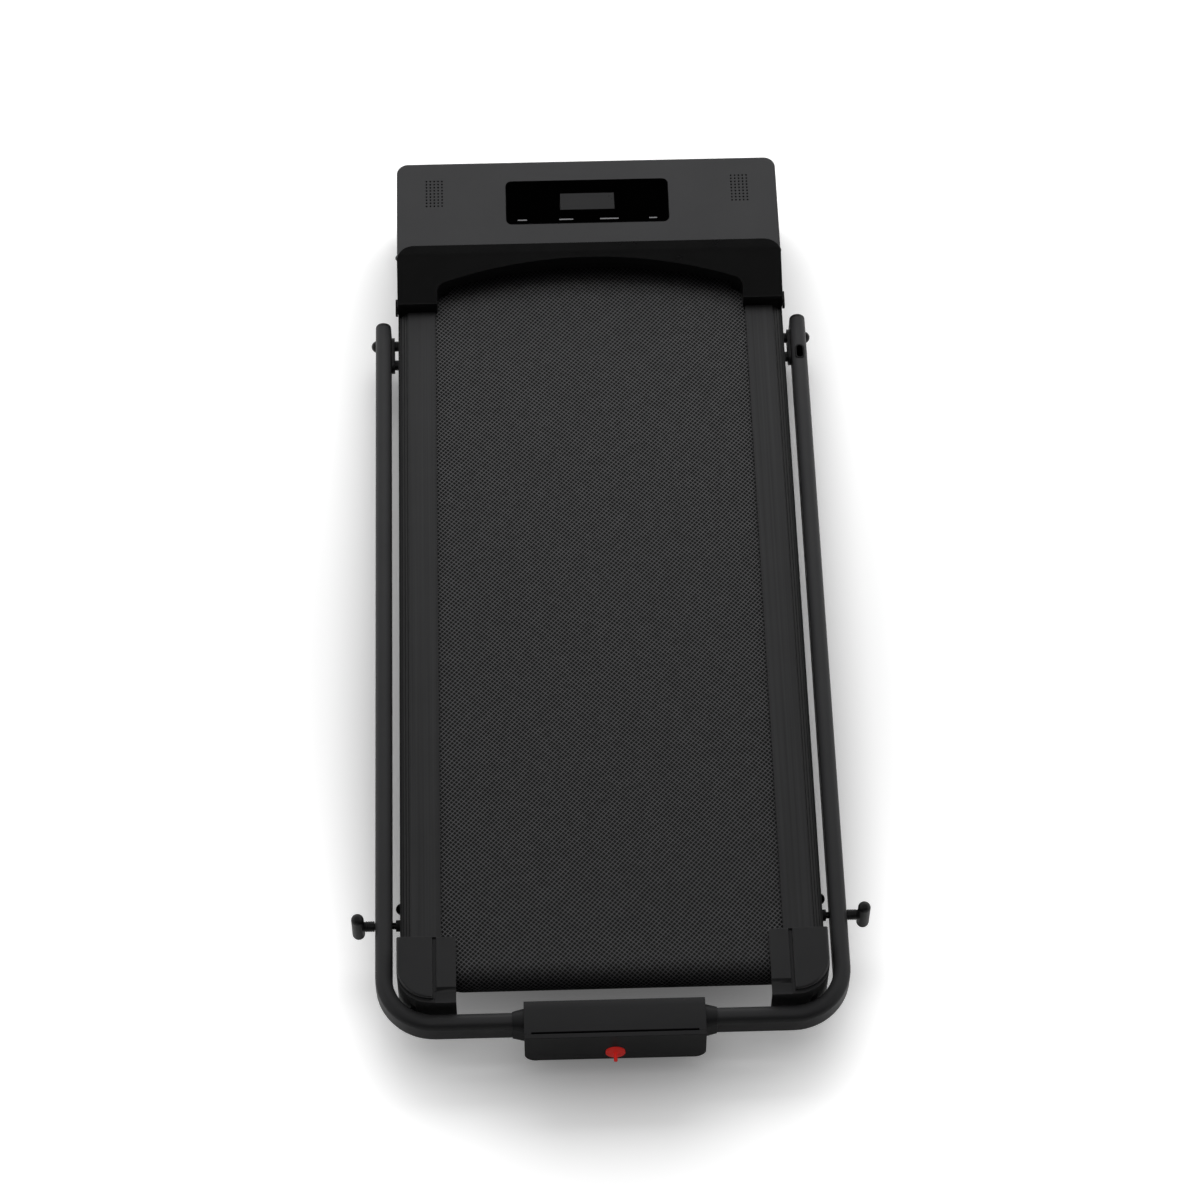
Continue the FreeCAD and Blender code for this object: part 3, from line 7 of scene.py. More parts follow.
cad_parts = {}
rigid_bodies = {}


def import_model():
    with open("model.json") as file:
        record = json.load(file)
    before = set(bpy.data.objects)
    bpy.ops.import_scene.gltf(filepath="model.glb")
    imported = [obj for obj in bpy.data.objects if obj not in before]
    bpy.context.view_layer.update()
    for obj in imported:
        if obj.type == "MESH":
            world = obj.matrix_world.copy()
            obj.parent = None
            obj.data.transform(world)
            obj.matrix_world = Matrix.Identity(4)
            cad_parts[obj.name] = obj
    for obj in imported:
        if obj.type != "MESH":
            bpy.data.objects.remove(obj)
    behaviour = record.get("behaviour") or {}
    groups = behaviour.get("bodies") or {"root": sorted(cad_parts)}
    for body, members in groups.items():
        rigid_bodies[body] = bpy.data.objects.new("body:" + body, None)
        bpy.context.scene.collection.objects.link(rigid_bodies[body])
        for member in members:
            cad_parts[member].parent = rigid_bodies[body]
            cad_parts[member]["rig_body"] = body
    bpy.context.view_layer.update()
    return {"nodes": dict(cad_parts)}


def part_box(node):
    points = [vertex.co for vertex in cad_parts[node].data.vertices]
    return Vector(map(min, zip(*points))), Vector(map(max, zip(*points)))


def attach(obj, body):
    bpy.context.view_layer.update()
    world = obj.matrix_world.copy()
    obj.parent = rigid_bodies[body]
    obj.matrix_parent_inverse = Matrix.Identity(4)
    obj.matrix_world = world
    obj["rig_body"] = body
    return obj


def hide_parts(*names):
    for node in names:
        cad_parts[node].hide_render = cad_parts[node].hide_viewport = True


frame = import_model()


def feed(tree, socket, value):
    """Sets a socket to a value, or links another node's output to it."""
    if isinstance(value, bpy.types.NodeSocket):
        tree.links.new(value, socket)
    else:
        socket.default_value = value


def feed_named(tree, node, **sockets):
    """Sets or links each named socket of a node."""
    for name, value in sockets.items():
        feed(tree, node.inputs[name.replace("_", " ")], value)


def shader_node(tree, kind, settings=None, **sockets):
    """One node, with its settings, and each named socket set to a value or linked to an output."""
    made = tree.nodes.new("ShaderNode" + kind)
    for name, value in (settings or {}).items():
        setattr(made, name, value)
    feed_named(tree, made, **sockets)
    return made


def arithmetic(tree, operation, *terms):
    """The result of a sum of values and other nodes' outputs."""
    made = shader_node(tree, "Math", {"operation": operation})
    for socket, term in zip(made.inputs, terms):
        feed(tree, socket, term)
    return made.outputs[0]


def vector_sum(tree, operation, *terms, **sockets):
    """The outputs of a sum of vectors: its Vector and its Value."""
    made = shader_node(tree, "VectorMath", {"operation": operation}, **sockets)
    for socket, term in zip(made.inputs, terms):
        feed(tree, socket, term)
    return made.outputs


def shader_group(name, inputs, outputs):
    """An empty node group with its named inputs, each with a first value, and its named outputs."""
    tree = bpy.data.node_groups.new(name, "ShaderNodeTree")
    for label, value in inputs.items():
        kind = "NodeSocketColor" if isinstance(value, tuple) else "NodeSocketFloat"
        tree.interface.new_socket(label, in_out="INPUT", socket_type=kind).default_value = value
    for label in outputs:
        kind = "NodeSocketColor" if label == "Colour" else "NodeSocketFloat"
        tree.interface.new_socket(label, in_out="OUTPUT", socket_type=kind)
    return tree, tree.nodes.new("NodeGroupInput").outputs, tree.nodes.new("NodeGroupOutput").inputs


def build_surface_grain():
    """Colour that wanders a little, gloss with handling marks, and a fine pebbled relief."""
    first_values = {"Colour": (0.02, 0.02, 0.02, 1.0), "Wander": 0.2, "Gloss": 0.5, "Marks": 0.1,
                    "Grain": 900.0}
    tree, given, result = shader_group("surface_grain", first_values, ("Colour", "Roughness", "Relief"))
    where = shader_node(tree, "TexCoord").outputs["Object"]
    pebbles = shader_node(tree, "TexNoise", Vector=where, Scale=given["Grain"], Detail=2.0, Roughness=0.6)
    clouds = shader_node(tree, "TexNoise", Vector=where, Scale=11.0, Detail=5.0, Roughness=0.62)
    rubs = shader_node(tree, "TexNoise", Vector=where, Scale=38.0, Detail=6.0, Roughness=0.7)
    clouded = arithmetic(tree, "SUBTRACT", clouds.outputs["Fac"], 0.5)
    tone = arithmetic(tree, "MULTIPLY_ADD", clouded, given["Wander"], 1.0)
    shade = vector_sum(tree, "SCALE", given["Colour"], Scale=tone)
    rubbed = arithmetic(tree, "SUBTRACT", rubs.outputs["Fac"], 0.5)
    rough = arithmetic(tree, "MULTIPLY_ADD", rubbed, given["Marks"], given["Gloss"])
    feed(tree, result["Colour"], shade["Vector"])
    feed(tree, result["Roughness"], rough)
    feed(tree, result["Relief"], pebbles.outputs["Fac"])
    return tree


surface_grain = build_surface_grain()


def new_finish(name):
    """An empty material, its nodes and its shader."""
    finish = bpy.data.materials.new(name)
    finish.use_nodes = True
    return finish, finish.node_tree, finish.node_tree.nodes["Principled BSDF"]


def grained(name, grey, gloss, grain, relief, shine, wander=0.25, marks=0.14, tint=(1.0, 1.0, 1.03)):
    """A finish from the surface grain: linear grey, roughness, grains a metre and relief in metres."""
    finish, tree, shader = new_finish(name)
    grains = shader_node(tree, "Group", {"node_tree": surface_grain}, Wander=wander, Gloss=gloss,
                         Marks=marks, Grain=grain,
                         Colour=(grey * tint[0], grey * tint[1], grey * tint[2], 1.0))
    bump = shader_node(tree, "Bump", Strength=0.6, Distance=relief, Height=grains.outputs["Relief"])
    feed_named(tree, shader, Base_Color=grains.outputs["Colour"], Roughness=grains.outputs["Roughness"],
               Normal=bump.outputs["Normal"], Specular_IOR_Level=shine)
    return finish


merge_distance = 1e-6
flat_angle = math.radians(0.5)
sharp_angle = math.radians(32)


def add_object(name, data):
    """Puts new data into the scene as an object."""
    added = bpy.data.objects.new(name, data)
    bpy.context.scene.collection.objects.link(added)
    return added


def place(shape, name, finish, *nodes):
    """Makes a mesh into a smooth-shaded piece that stands for CAD nodes and moves with the first."""
    mesh = bpy.data.meshes.new(name)
    shape.to_mesh(mesh)
    shape.free()
    mesh.shade_smooth()
    mesh.set_sharp_from_angle(angle=sharp_angle)
    mesh.materials.append(finish)
    piece = add_object(name, mesh)
    piece.modifiers.new("even_shading", "WEIGHTED_NORMAL").keep_sharp = True
    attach(piece, frame["nodes"][nodes[0]]["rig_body"])
    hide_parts(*nodes)


def skin(node, finish, edge=0.0, shortest=0.0):
    """A merged, smooth copy of a CAD node, with its long sharp edges rounded, that stands for it."""
    shape = bmesh.new()
    shape.from_mesh(frame["nodes"][node].data)
    bmesh.ops.remove_doubles(shape, verts=shape.verts, dist=merge_distance)
    bmesh.ops.dissolve_limit(shape, angle_limit=flat_angle, verts=shape.verts, edges=shape.edges)
    if edge:
        sharp = [line for line in shape.edges if line.is_manifold and line.is_convex
                 and line.calc_face_angle() > sharp_angle and line.calc_length() > shortest]
        bmesh.ops.bevel(shape, geom=sharp, offset=edge, offset_type="OFFSET", segments=3, profile=0.5,
                        affect="EDGES", material=-1)
    place(shape, node + "_skin", finish, node)


def paint(node, finish):
    """Gives a CAD node that stays as it is a finish."""
    mesh = frame["nodes"][node].data
    mesh.materials.clear()
    mesh.materials.append(finish)


frame_coat = grained("frame_coat", grey=0.012, gloss=0.42, grain=700.0, relief=0.0001, shine=0.3)
for node in ("frame_side_left", "frame_side_right", "frame_cross_members", "motor_mount"):
    paint(node, frame_coat)

# Deck board and its cushions
# A pressed wood-fibre board with a dark waxed face, resting on six rubber blocks on the cross tubes.
# The belt slides on the waxed face.
board_finish = grained("waxed_board", grey=0.03, gloss=0.38, grain=260.0, relief=0.00015, shine=0.4,
                       wander=0.7, tint=(1.0, 0.86, 0.7))
rubber = grained("black_rubber", grey=0.011, gloss=0.78, grain=1500.0, relief=0.00012, shine=0.2)
paint("deck_board", board_finish)
paint("deck_cushions", rubber)

# Rollers, bearings and fasteners
# Turned steel tubes on pressed hubs, run in bearings in the side members, and zinc-plated screws.
# Turning leaves fine rings round the axis.


def turned(name, grey, gloss):
    """Turned steel: rings across the axis give it a fine relief."""
    finish, tree, shader = new_finish(name)
    where = shader_node(tree, "TexCoord").outputs["Object"]
    across = shader_node(tree, "Mapping", Vector=where, Scale=(1800.0, 14.0, 14.0))
    rings = shader_node(tree, "TexNoise", Vector=across.outputs["Vector"], Scale=1.0, Detail=3.0)
    grains = shader_node(tree, "Group", {"node_tree": surface_grain}, Wander=0.3, Gloss=gloss, Marks=0.2,
                         Grain=1200.0, Colour=(grey, grey, grey, 1.0))
    bump = shader_node(tree, "Bump", Strength=0.35, Distance=0.00005, Height=rings.outputs["Fac"])
    feed_named(tree, shader, Base_Color=grains.outputs["Colour"], Roughness=grains.outputs["Roughness"],
               Normal=bump.outputs["Normal"], Metallic=1.0)
    return finish


bright_steel = turned("bright_steel", grey=0.55, gloss=0.32)
black_steel = turned("black_steel", grey=0.022, gloss=0.34)
for node in ("front_roller", "rear_roller", "front_bearings", "roller_bearings", "rear_axle",
             "roller_adjusters"):
    skin(node, bright_steel)

# Running belt
# An endless two-ply belt. Its face is a coarse diamond weave under black polyvinyl, in which
# the threads stand up as grey lines round pits painted dark as shade, and its back is smooth.
belt_low, belt_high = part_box("running_belt")
belt_half = belt_high.x
axis_z = (belt_low.z + belt_high.z) / 2
wrap_radius = (belt_high.z - belt_low.z) / 2
front_y = belt_high.y - wrap_radius
rear_y = belt_low.y + wrap_radius
thread_spacing = 0.00421
weave_lean = math.radians(50)
pit_depth = 0.0007
weave_bed = 0.0002
ply = 0.0008
wrap_steps = 32
cut_slack = 1e-7


def weave_sheet():
    """The belt's face, flat: diamonds with a pit in each, from the front to past the rear roller."""
    reach = front_y - rear_y + math.pi * wrap_radius
    side = reach * math.cos(weave_lean) + 2 * belt_half * math.sin(weave_lean) + thread_spacing
    cells = math.ceil(side / thread_spacing)
    side = cells * thread_spacing
    sheet = bmesh.new()
    bmesh.ops.create_grid(sheet, x_segments=cells, y_segments=cells, size=side / 2)
    turn = Matrix.Translation((0, front_y - reach / 2, 0)) @ Matrix.Rotation(weave_lean, 4, "Z")
    bmesh.ops.transform(sheet, matrix=turn, verts=sheet.verts)
    cuts = (((belt_half, 0, 0), (1, 0, 0)), ((-belt_half, 0, 0), (-1, 0, 0)),
            ((0, front_y, 0), (0, 1, 0)), ((0, front_y - reach, 0), (0, -1, 0)))
    for point, normal in cuts:
        bmesh.ops.bisect_plane(sheet, geom=sheet.verts[:] + sheet.edges[:] + sheet.faces[:],
                               dist=cut_slack, plane_co=point, plane_no=normal, clear_outer=True)
    pit = sheet.verts.layers.float.new("pit")
    poked = bmesh.ops.poke(sheet, faces=sheet.faces[:], offset=-pit_depth)
    for vert in poked["verts"]:
        vert[pit] = 1.0
    rim = bmesh.ops.extrude_edge_only(sheet, edges=[edge for edge in sheet.edges if edge.is_boundary])
    lowered = [part for part in rim["geom"] if isinstance(part, bmesh.types.BMVert)]
    bmesh.ops.translate(sheet, verts=lowered, vec=(0, 0, -pit_depth - weave_bed))
    return sheet


def wrap_sheet(sheet):
    """Lays the flat face on the top run and bends what is past the rear roller's axis round it."""
    for vert in sheet.verts:
        past = rear_y - vert.co.y
        height = wrap_radius + vert.co.z
        if past <= 0:
            vert.co.z = axis_z + height
            continue
        angle = past / wrap_radius
        vert.co.y = rear_y - height * math.sin(angle)
        vert.co.z = axis_z + height * math.cos(angle)


def belt_finish():
    """Grey threads painted dark towards the pits as shade, a little unevenly, with a fine fibre relief."""
    finish, tree, shader = new_finish("woven_belt")
    where = shader_node(tree, "TexCoord").outputs["Object"]
    pit = shader_node(tree, "Attribute", {"attribute_name": "pit"}).outputs["Fac"]
    fibres = shader_node(tree, "TexNoise", Vector=where, Scale=900.0, Detail=3.0, Roughness=0.7)
    uneven = shader_node(tree, "TexNoise", Vector=where, Scale=130.0, Detail=4.0, Roughness=0.65)
    centred = arithmetic(tree, "SUBTRACT", uneven.outputs["Fac"], 0.5)
    unevenness = 0.16
    # Painted shade: the colour runs from the threads' grey to near black in the pits.
    ramp = shader_node(tree, "ValToRGB", Fac=arithmetic(tree, "MULTIPLY_ADD", centred, unevenness, pit))
    thread, pit_painted_shade = ramp.color_ramp.elements
    thread.color = (0.109, 0.109, 0.112, 1.0)
    pit_painted_shade.position = 0.32
    pit_painted_shade.color = (0.006, 0.006, 0.006, 1.0)
    bump = shader_node(tree, "Bump", Strength=0.5, Distance=0.0002, Height=fibres.outputs["Fac"])
    feed_named(tree, shader, Base_Color=ramp.outputs["Color"], Normal=bump.outputs["Normal"],
               Roughness=0.62, Specular_IOR_Level=0.08)
    return finish


def belt_backing():
    """The smooth ply under the weave, drawn round both rollers and closed on itself."""
    loop = bmesh.new()
    height = axis_z + wrap_radius - pit_depth - weave_bed
    start = [loop.verts.new((side * belt_half, front_y, height)) for side in (1, -1)]
    line = [loop.edges.new(start)]
    for y, travel in ((rear_y, rear_y - front_y), (front_y, front_y - rear_y)):
        run = bmesh.ops.extrude_edge_only(loop, edges=line)["geom"]
        end = [part for part in run if isinstance(part, bmesh.types.BMVert)]
        bmesh.ops.translate(loop, verts=end, vec=(0, travel, 0))
        line = [part for part in run
                if isinstance(part, bmesh.types.BMEdge) and set(part.verts) == set(end)]
        bend = bmesh.ops.spin(loop, geom=end + line, cent=(0, y, axis_z), axis=(1, 0, 0), dvec=(0, 0, 0),
                              angle=math.pi, steps=wrap_steps)["geom_last"]
        line = [part for part in bend if isinstance(part, bmesh.types.BMEdge)]
    bmesh.ops.remove_doubles(loop, verts=loop.verts, dist=merge_distance)
    bmesh.ops.recalc_face_normals(loop, faces=loop.faces)
    bmesh.ops.solidify(loop, geom=loop.faces[:], thickness=ply)
    return loop


belt = weave_sheet()
wrap_sheet(belt)
place(belt, "belt_weave", belt_finish(), "running_belt")
backing_finish = grained("belt_backing", grey=0.012, gloss=0.7, grain=1100.0, relief=0.0001, shine=0.15)
place(belt_backing(), "belt_backing", backing_finish, "running_belt")

# Side rails
# Extruded plastic foot rails with a flat tread and a grooved outer flank, pushed over the side members.
# Pulling them through the die leaves long, faint streaks, and the grooved flank is painted darker than
# the tread, as shade for a face that turns away from the light.


def extruded(name, grey, gloss, shine, tread_edge, edge_blend, flank_painted_shade):
    """Extruded plastic: streaks along the pull change its tone, and past the tread's edge it is painted
    darker as shade.
    """
    finish = grained(name, grey=grey, gloss=gloss, grain=1300.0, relief=0.00008, shine=shine)
    tree = finish.node_tree
    base_colour = tree.nodes["Principled BSDF"].inputs["Base Color"]
    where = shader_node(tree, "TexCoord").outputs["Object"]
    drawn = shader_node(tree, "Mapping", Vector=where, Scale=(330.0, 1.6, 330.0))
    streak = shader_node(tree, "TexNoise", Vector=drawn.outputs["Vector"], Scale=1.0, Detail=4.0,
                         Roughness=0.6)
    tone = shader_node(tree, "MapRange", Value=streak.outputs["Fac"], From_Min=0.3, From_Max=0.7,
                       To_Min=0.82, To_Max=1.18)
    across = shader_node(tree, "SeparateXYZ", Vector=where)
    from_middle = arithmetic(tree, "ABSOLUTE", across.outputs["X"])
    # Painted shade: past the tread's edge the colour is scaled down, for a flank that turns away from the
    # light.
    flank = shader_node(tree, "MapRange", Value=from_middle, From_Min=tread_edge - edge_blend,
                        From_Max=tread_edge + edge_blend, To_Min=1.0, To_Max=flank_painted_shade)
    streaks_and_painted_shade = arithmetic(tree, "MULTIPLY", tone.outputs["Result"], flank.outputs["Result"])
    tinted = vector_sum(tree, "SCALE", base_colour.links[0].from_socket, Scale=streaks_and_painted_shade)
    feed(tree, base_colour, tinted["Vector"])
    return finish


# The flank keeps 0.3 of the tread's colour as painted shade.
rail_finish = extruded("rail_plastic", grey=0.0282, gloss=0.5, shine=0.2, tread_edge=0.235,
                       edge_blend=0.0004, flank_painted_shade=0.3)
for side in ("left", "right"):
    skin("side_rail_" + side, rail_finish, edge=0.0003)

# Rear corner caps
# Injection-moulded corners that close the rails' ends and guard the edges of the belt at the roller.
# Each is pushed over its rail, with a groove between its corner and the guard.
cap_finish = grained("cap_plastic", grey=0.027, gloss=0.36, grain=1500.0, relief=0.00008, shine=0.3)
for side in ("left", "right"):
    skin("rear_cap_" + side, cap_finish, edge=0.0005, shortest=0.002)

# Motor and drive
# A finned direct-current motor on its bracket, with a ribbed belt to the front roller and its
# controller on a heat sink beside it.
cast_metal = grained("cast_metal", grey=0.18, gloss=0.5, grain=600.0, relief=0.0002, shine=0.5)
circuit_board = grained("circuit_board", grey=0.05, gloss=0.4, grain=300.0, relief=0.0001, shine=0.4,
                        tint=(0.3, 1.0, 0.45))
skin("motor_body", cast_metal)
skin("motor_shaft", bright_steel)
skin("motor_pulley", black_steel)
skin("driven_pulley", black_steel)
skin("drive_belt", rubber)
paint("motor_controller", cast_metal)
paint("display_board", circuit_board)

# Belly pan, feet and transport wheels
# A folded steel pan closes the underside, rubber feet carry the rear and front corners, and two
# solid wheels at the front let the folded machine be rolled.
skin("belly_pan", frame_coat)
skin("rubber_feet", rubber, edge=0.0008)
skin("wheel_axles", bright_steel)
wheel_finish = grained("wheel_plastic", grey=0.02, gloss=0.55, grain=900.0, relief=0.0001, shine=0.25)
for side in ("left", "right"):
    skin("transport_wheel_" + side, wheel_finish, edge=0.0008, shortest=0.002)

# Motor hood, its apron and screws
# The hood is a dark grey moulding with a fine spark grain. The apron is a separate black moulding
# that bridges the belt in a low arch and ends in a leg on each rail.
hood_finish = grained("hood_plastic", grey=0.038, gloss=0.55, grain=1700.0, relief=0.00009, shine=0.12)
apron_finish = grained("apron_plastic", grey=0.0033, gloss=0.3, grain=1700.0, relief=0.00008, shine=0.25)
skin("hood_shell", hood_finish, edge=0.0004)
skin("hood_apron", apron_finish, edge=0.0003)
skin("hood_screws", black_steel)

# Display and speakers
# A gloss black acrylic window lies in the hood's top, over a grey liquid-crystal panel, with four
# plain printed bars below it. A drilled grille on each side covers a speaker behind black cloth.
lens_finish = grained("gloss_lens", grey=0.0002, gloss=0.06, grain=40.0, relief=0.000002, shine=0.3,
                      marks=0.02)
lcd_finish = grained("liquid_crystal", grey=0.024, gloss=0.3, grain=500.0, relief=0.00002, shine=0.1)
skin("display_lens", lens_finish, edge=0.0004)
skin("lcd_window", lcd_finish)
lens_low, lens_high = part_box("display_lens")
bar_ink = grained("bar_ink", grey=0.16, gloss=0.6, grain=900.0, relief=0.00002, shine=0.1)
bar_margin = 0.006
bar_width = 0.0018
bar_thickness = 0.00008
bars = bmesh.new()
for middle, length in ((-0.085, 0.012), (-0.028, 0.018), (0.028, 0.024), (0.085, 0.01)):
    spot = Matrix.Translation((middle, lens_low.y + bar_margin, lens_high.z))
    size = Matrix.Diagonal((length, bar_width, bar_thickness, 1.0))
    bmesh.ops.create_cube(bars, size=1.0, matrix=spot @ size)
place(bars, "display_bars", bar_ink, "display_lens")
cloth_finish = grained("speaker_cloth", grey=0.0015, gloss=0.9, grain=2500.0, relief=0.0002, shine=0.0)
hood_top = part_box("hood_shell")[1].z
speaker_low, speaker_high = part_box("speakers")
speaker_reach = (speaker_high.y - speaker_low.y) / 2
speaker_x = speaker_high.x - speaker_reach
speaker_y = (speaker_low.y + speaker_high.y) / 2
grille_pitch = 0.00505
grille_columns = range(-2, 3)
grille_rows = range(-4, 5)
hole_radius = 0.00121
cloth_depth = 0.0007
cloth = bmesh.new()
for side in (-1, 1):
    for column in grille_columns:
        for row in grille_rows:
            spot = Matrix.Translation((side * speaker_x + column * grille_pitch,
                                       speaker_y + row * grille_pitch, hood_top - cloth_depth))
            bmesh.ops.create_circle(cloth, cap_ends=True, segments=20, radius=hole_radius, matrix=spot)
place(cloth, "speaker_cloth", cloth_finish, "speakers")
skin("speakers", rubber)

# Mains panel
# A plate in the hood's front holds the mains inlet, a rocker switch and a press-to-reset breaker.
# All are black mouldings that snap into the plate, apart from the red rocker.
black_plastic = grained("black_plastic", grey=0.014, gloss=0.42, grain=1500.0, relief=0.00006, shine=0.3)
red_plastic = grained("red_plastic", grey=0.6, gloss=0.3, grain=1200.0, relief=0.00004, shine=0.4,
                      tint=(1.0, 0.018, 0.016))
skin("service_panel", black_plastic)
skin("power_inlet", black_plastic)
skin("switch_housings", black_plastic)
skin("power_rocker", red_plastic, edge=0.0004)
skin("breaker_button", black_plastic)

# Folding handrail
# One oval steel tube bent into a U and powder coated, with plastic plugs in its ends and a rubber
# grommet where the console's lead goes in.
tube_coat = grained("tube_coat", grey=0.0365, gloss=0.36, grain=900.0, relief=0.00006, shine=0.12)
skin("handrail_tube", tube_coat)
skin("tube_plugs", black_plastic, edge=0.0006)
skin("cable_grommet", rubber, edge=0.0004)
paint("pivot_bushes", black_plastic)
paint("clamp_bushes", black_plastic)

# Pivot brackets and their fasteners
# Flat steel plates on spacers, bolted to the side members, with the studs and domed nuts on which the
# handrail turns. The plates are coated like the frame, and the fasteners are blackened.
for side in ("left", "right"):
    skin("pivot_bracket_" + side, frame_coat, edge=0.0004)
for node in ("pivot_bolts", "dome_nuts", "rail_bolts"):
    skin(node, black_steel)

# Lock knobs
# Moulded T-handles on plated screws, with a swivelling rubber foot that presses on the frame.
# Four ribs round the hub give the fingers hold.
rib_count = 4
rib_start = 0.0014
rib_pitch = 0.0027
rib_radius = 0.0064
rib_thickness = 0.0013
across_machine = Matrix.Rotation(math.pi / 2, 4, "Y")
for side in ("left", "right"):
    skin("lock_knob_" + side, black_plastic)
    knob_low, knob_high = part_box("lock_knob_" + side)
    hub_end, outward = (knob_low.x, 1) if side == "right" else (knob_high.x, -1)
    ribs = bmesh.new()
    for index in range(rib_count):
        spot = Matrix.Translation((hub_end + outward * (rib_start + rib_pitch * index),
                                   (knob_low.y + knob_high.y) / 2, (knob_low.z + knob_high.z) / 2))
        bmesh.ops.create_cone(ribs, cap_ends=True, segments=40, radius1=rib_radius, radius2=rib_radius,
                              depth=rib_thickness, matrix=spot @ across_machine)
    place(ribs, "knob_ribs_" + side, black_plastic, "lock_knob_" + side)
    skin("lock_screw_" + side, black_steel)
    skin("clamp_foot_" + side, rubber)

# Console
# A two-part moulded box on the crossbar, its lid set off by a seam, with a tapered collar round the
# bar at each end. All have the same fine grain.
console_finish = grained("console_plastic", grey=0.0235, gloss=0.34, grain=1500.0, relief=0.00007,
                         shine=0.09)
skin("console_housing", console_finish, edge=0.0005, shortest=0.002)
skin("console_lid", console_finish, edge=0.0003)
skin("console_collars", console_finish, edge=0.0004)

# Safety key
# A moulded disc with a finger stub, held to the console by a magnet. A faint painted glow in its own red
# stands in for light through its clear plastic, so it keeps its colour on the shaded side.
key_plastic_painted_glow = grained("key_plastic_painted_glow", grey=0.95, gloss=0.35, grain=1200.0, relief=0.00004, shine=0.1,
                      tint=(1.0, 0.014, 0.012))
key_shader = key_plastic_painted_glow.node_tree.nodes["Principled BSDF"]
# Painted glow: a faint red emission stands in for light coming through the key's plastic.
feed_named(key_plastic_painted_glow.node_tree, key_shader, Emission_Color=(1.0, 0.07, 0.055, 1.0),
           Emission_Strength=0.14)
skin("safety_key", key_plastic_painted_glow)

# Studio
# A pale floor, a broad soft lamp over the hood's end and a weaker one behind the camera. The world
# lights the object from ahead and above, and is white behind it and along the horizon in gloss.


def studio_floor(radius):
    """A pale disc that keeps the object's shadow and turns white for the camera away from it."""
    shape = bmesh.new()
    bmesh.ops.create_circle(shape, cap_ends=True, segments=96, radius=radius)
    mesh = bpy.data.meshes.new("studio_floor")
    shape.to_mesh(mesh)
    shape.free()
    finish, tree, shader = new_finish("studio_floor")
    path = shader_node(tree, "LightPath").outputs
    colour = shader_node(tree, "Mix", {"data_type": "RGBA"}, Factor=path["Is Diffuse Ray"],
                         A=(0.96, 0.96, 0.96, 1.0), B=(0.3, 0.3, 0.3, 1.0))
    where = shader_node(tree, "TexCoord").outputs["Object"]
    oval = shader_node(tree, "Mapping", Vector=where, Scale=(2.9, 1.4, 1.0), Location=(0.0, -0.2, 0.0))
    reach = vector_sum(tree, "LENGTH", oval.outputs["Vector"])
    lift = shader_node(tree, "MapRange", {"interpolation_type": "SMOOTHSTEP"}, Value=reach["Value"],
                       From_Min=0.9, From_Max=1.9, To_Min=0.1, To_Max=1.0)
    glow = arithmetic(tree, "MULTIPLY", path["Is Camera Ray"], lift.outputs["Result"])
    feed_named(tree, shader, Base_Color=colour.outputs["Result"], Roughness=0.9, Specular_IOR_Level=0.0,
               Emission_Color=(1.0, 1.0, 1.0, 1.0), Emission_Strength=glow)
    mesh.materials.append(finish)
    add_object("studio_floor", mesh)


def soft_lamp(name, spot, aim, width, height, power):
    """A rectangular lamp that lights the object and doesn't show in its gloss."""
    lamp = bpy.data.lights.new(name, "AREA")
    lamp.shape = "RECTANGLE"
    lamp.size = width
    lamp.size_y = height
    lamp.energy = power
    holder = add_object(name, lamp)
    holder.location = spot
    holder.rotation_euler = (Vector(aim) - Vector(spot)).to_track_quat("-Z", "Y").to_euler()
    holder.visible_glossy = False


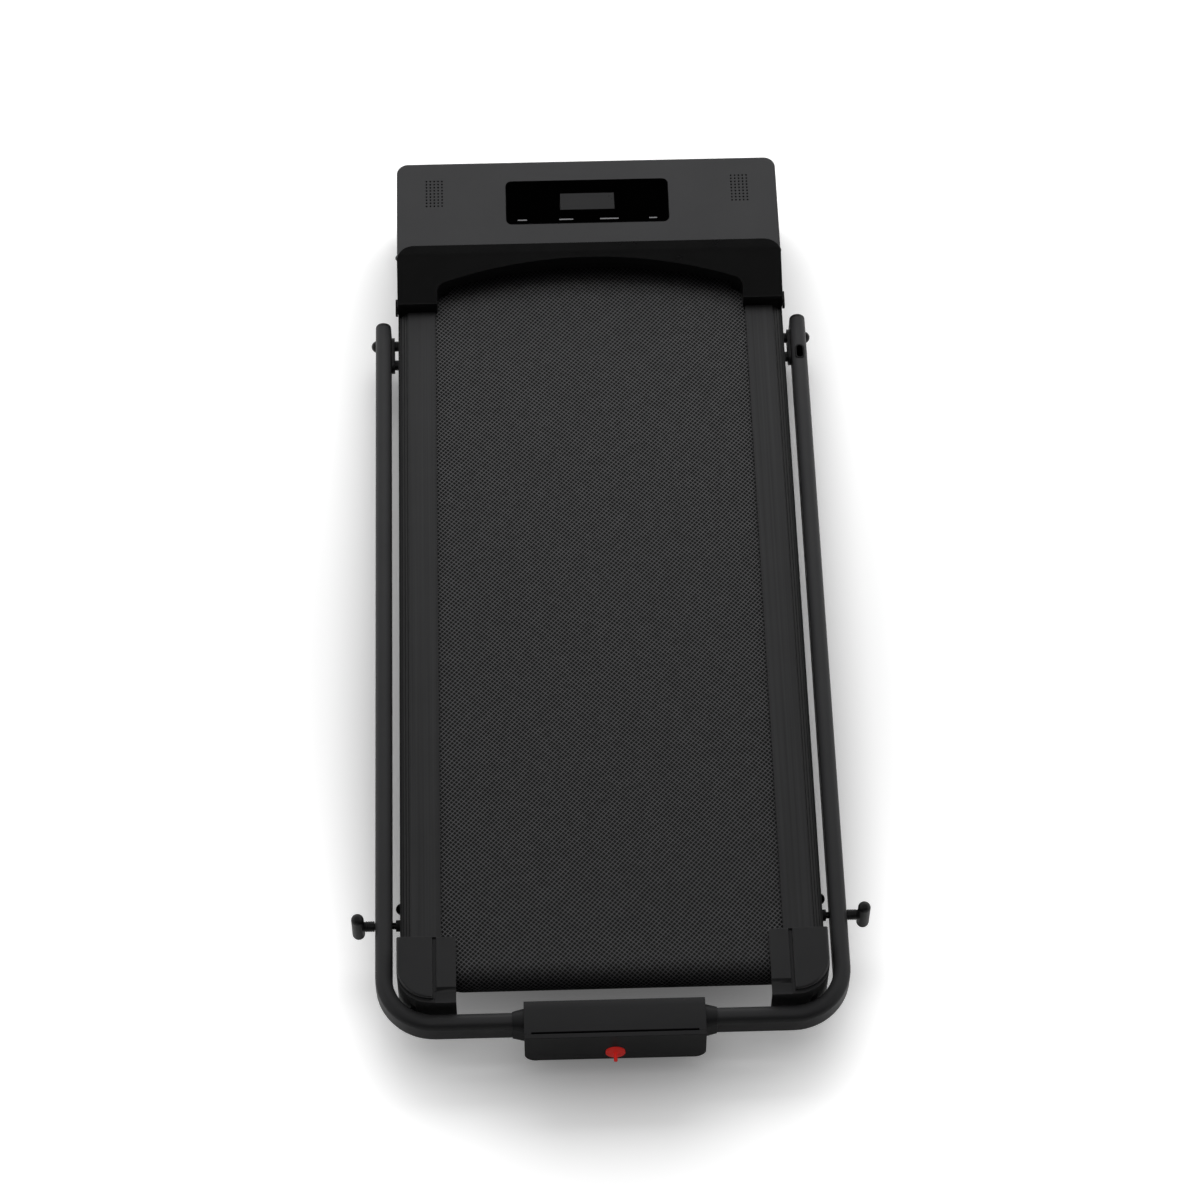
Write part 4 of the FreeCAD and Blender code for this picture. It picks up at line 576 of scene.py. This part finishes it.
def studio_world(heart, strongest, overhead_heart):
    """Light that grows towards its heart. Gloss sees a horizon and a patch overhead, the camera white."""
    world = bpy.data.worlds.new("studio_world")
    world.use_nodes = True
    tree = world.node_tree
    path = shader_node(tree, "LightPath").outputs
    heading = shader_node(tree, "TexCoord").outputs["Generated"]
    part = shader_node(tree, "SeparateXYZ", Vector=heading).outputs
    towards = vector_sum(tree, "DOT_PRODUCT", heading, heart)
    ambient = shader_node(tree, "MapRange", Value=towards["Value"], From_Min=0.2, From_Max=1.0,
                          To_Min=0.0, To_Max=strongest).outputs["Result"]
    eased = {"interpolation_type": "SMOOTHSTEP"}
    horizon = shader_node(tree, "MapRange", eased, Value=part["Z"], From_Min=0.4, From_Max=0.7,
                          To_Min=1.0, To_Max=0.0)
    ahead = shader_node(tree, "MapRange", eased, Value=part["Y"], From_Min=-0.7, From_Max=-0.2)
    above = vector_sum(tree, "DOT_PRODUCT", heading, overhead_heart)
    overhead = shader_node(tree, "MapRange", eased, Value=above["Value"], From_Min=0.965, From_Max=0.985)
    mirrored = arithmetic(tree, "MULTIPLY_ADD", horizon.outputs["Result"], ahead.outputs["Result"],
                          overhead.outputs["Result"])
    glossy = arithmetic(tree, "MAXIMUM", path["Is Glossy Ray"], path["Is Transmission Ray"])
    change = arithmetic(tree, "SUBTRACT", mirrored, ambient)
    lit = arithmetic(tree, "MULTIPLY_ADD", glossy, change, ambient)
    strength = arithmetic(tree, "MAXIMUM", path["Is Camera Ray"], lit)
    feed_named(tree, tree.nodes["Background"], Color=(1.0, 1.0, 1.0, 1.0), Strength=strength)
    bpy.context.scene.world = world


studio_floor(radius=30.0)
soft_lamp("front_softbox", spot=(0.05, 1.25, 1.7), aim=(0.05, 1.2, 0.0), width=2.0, height=1.2, power=28.0)
soft_lamp("rear_softbox", spot=(-0.8, -2.6, 3.2), aim=(0.0, 0.0, 0.0), width=2.4, height=2.4, power=7.0)
studio_world(heart=(0.0, 0.77, 0.64), strongest=1.3, overhead_heart=(0.0, -0.35, 0.937))

# Camera
# It stands behind the machine, high over its rear end, and looks down on it with a long lens.
camera_place = Vector((-0.08894, -2.47615, 4.09798))
camera_right = Vector((0.99955, -0.02983, 0.00381))
camera_up = Vector((0.02345, 0.85233, 0.52248))
camera_back = camera_right.cross(camera_up)
lens = bpy.data.cameras.new("photo_camera")
lens.sensor_width = 36.0
lens.lens = 114.3
camera = add_object("photo_camera", lens)
turn = Matrix((camera_right, camera_up, camera_back)).transposed().to_4x4()
camera.matrix_world = Matrix.Translation(camera_place) @ turn
bpy.context.scene.camera = camera
bpy.context.scene.view_settings.view_transform = "Standard"
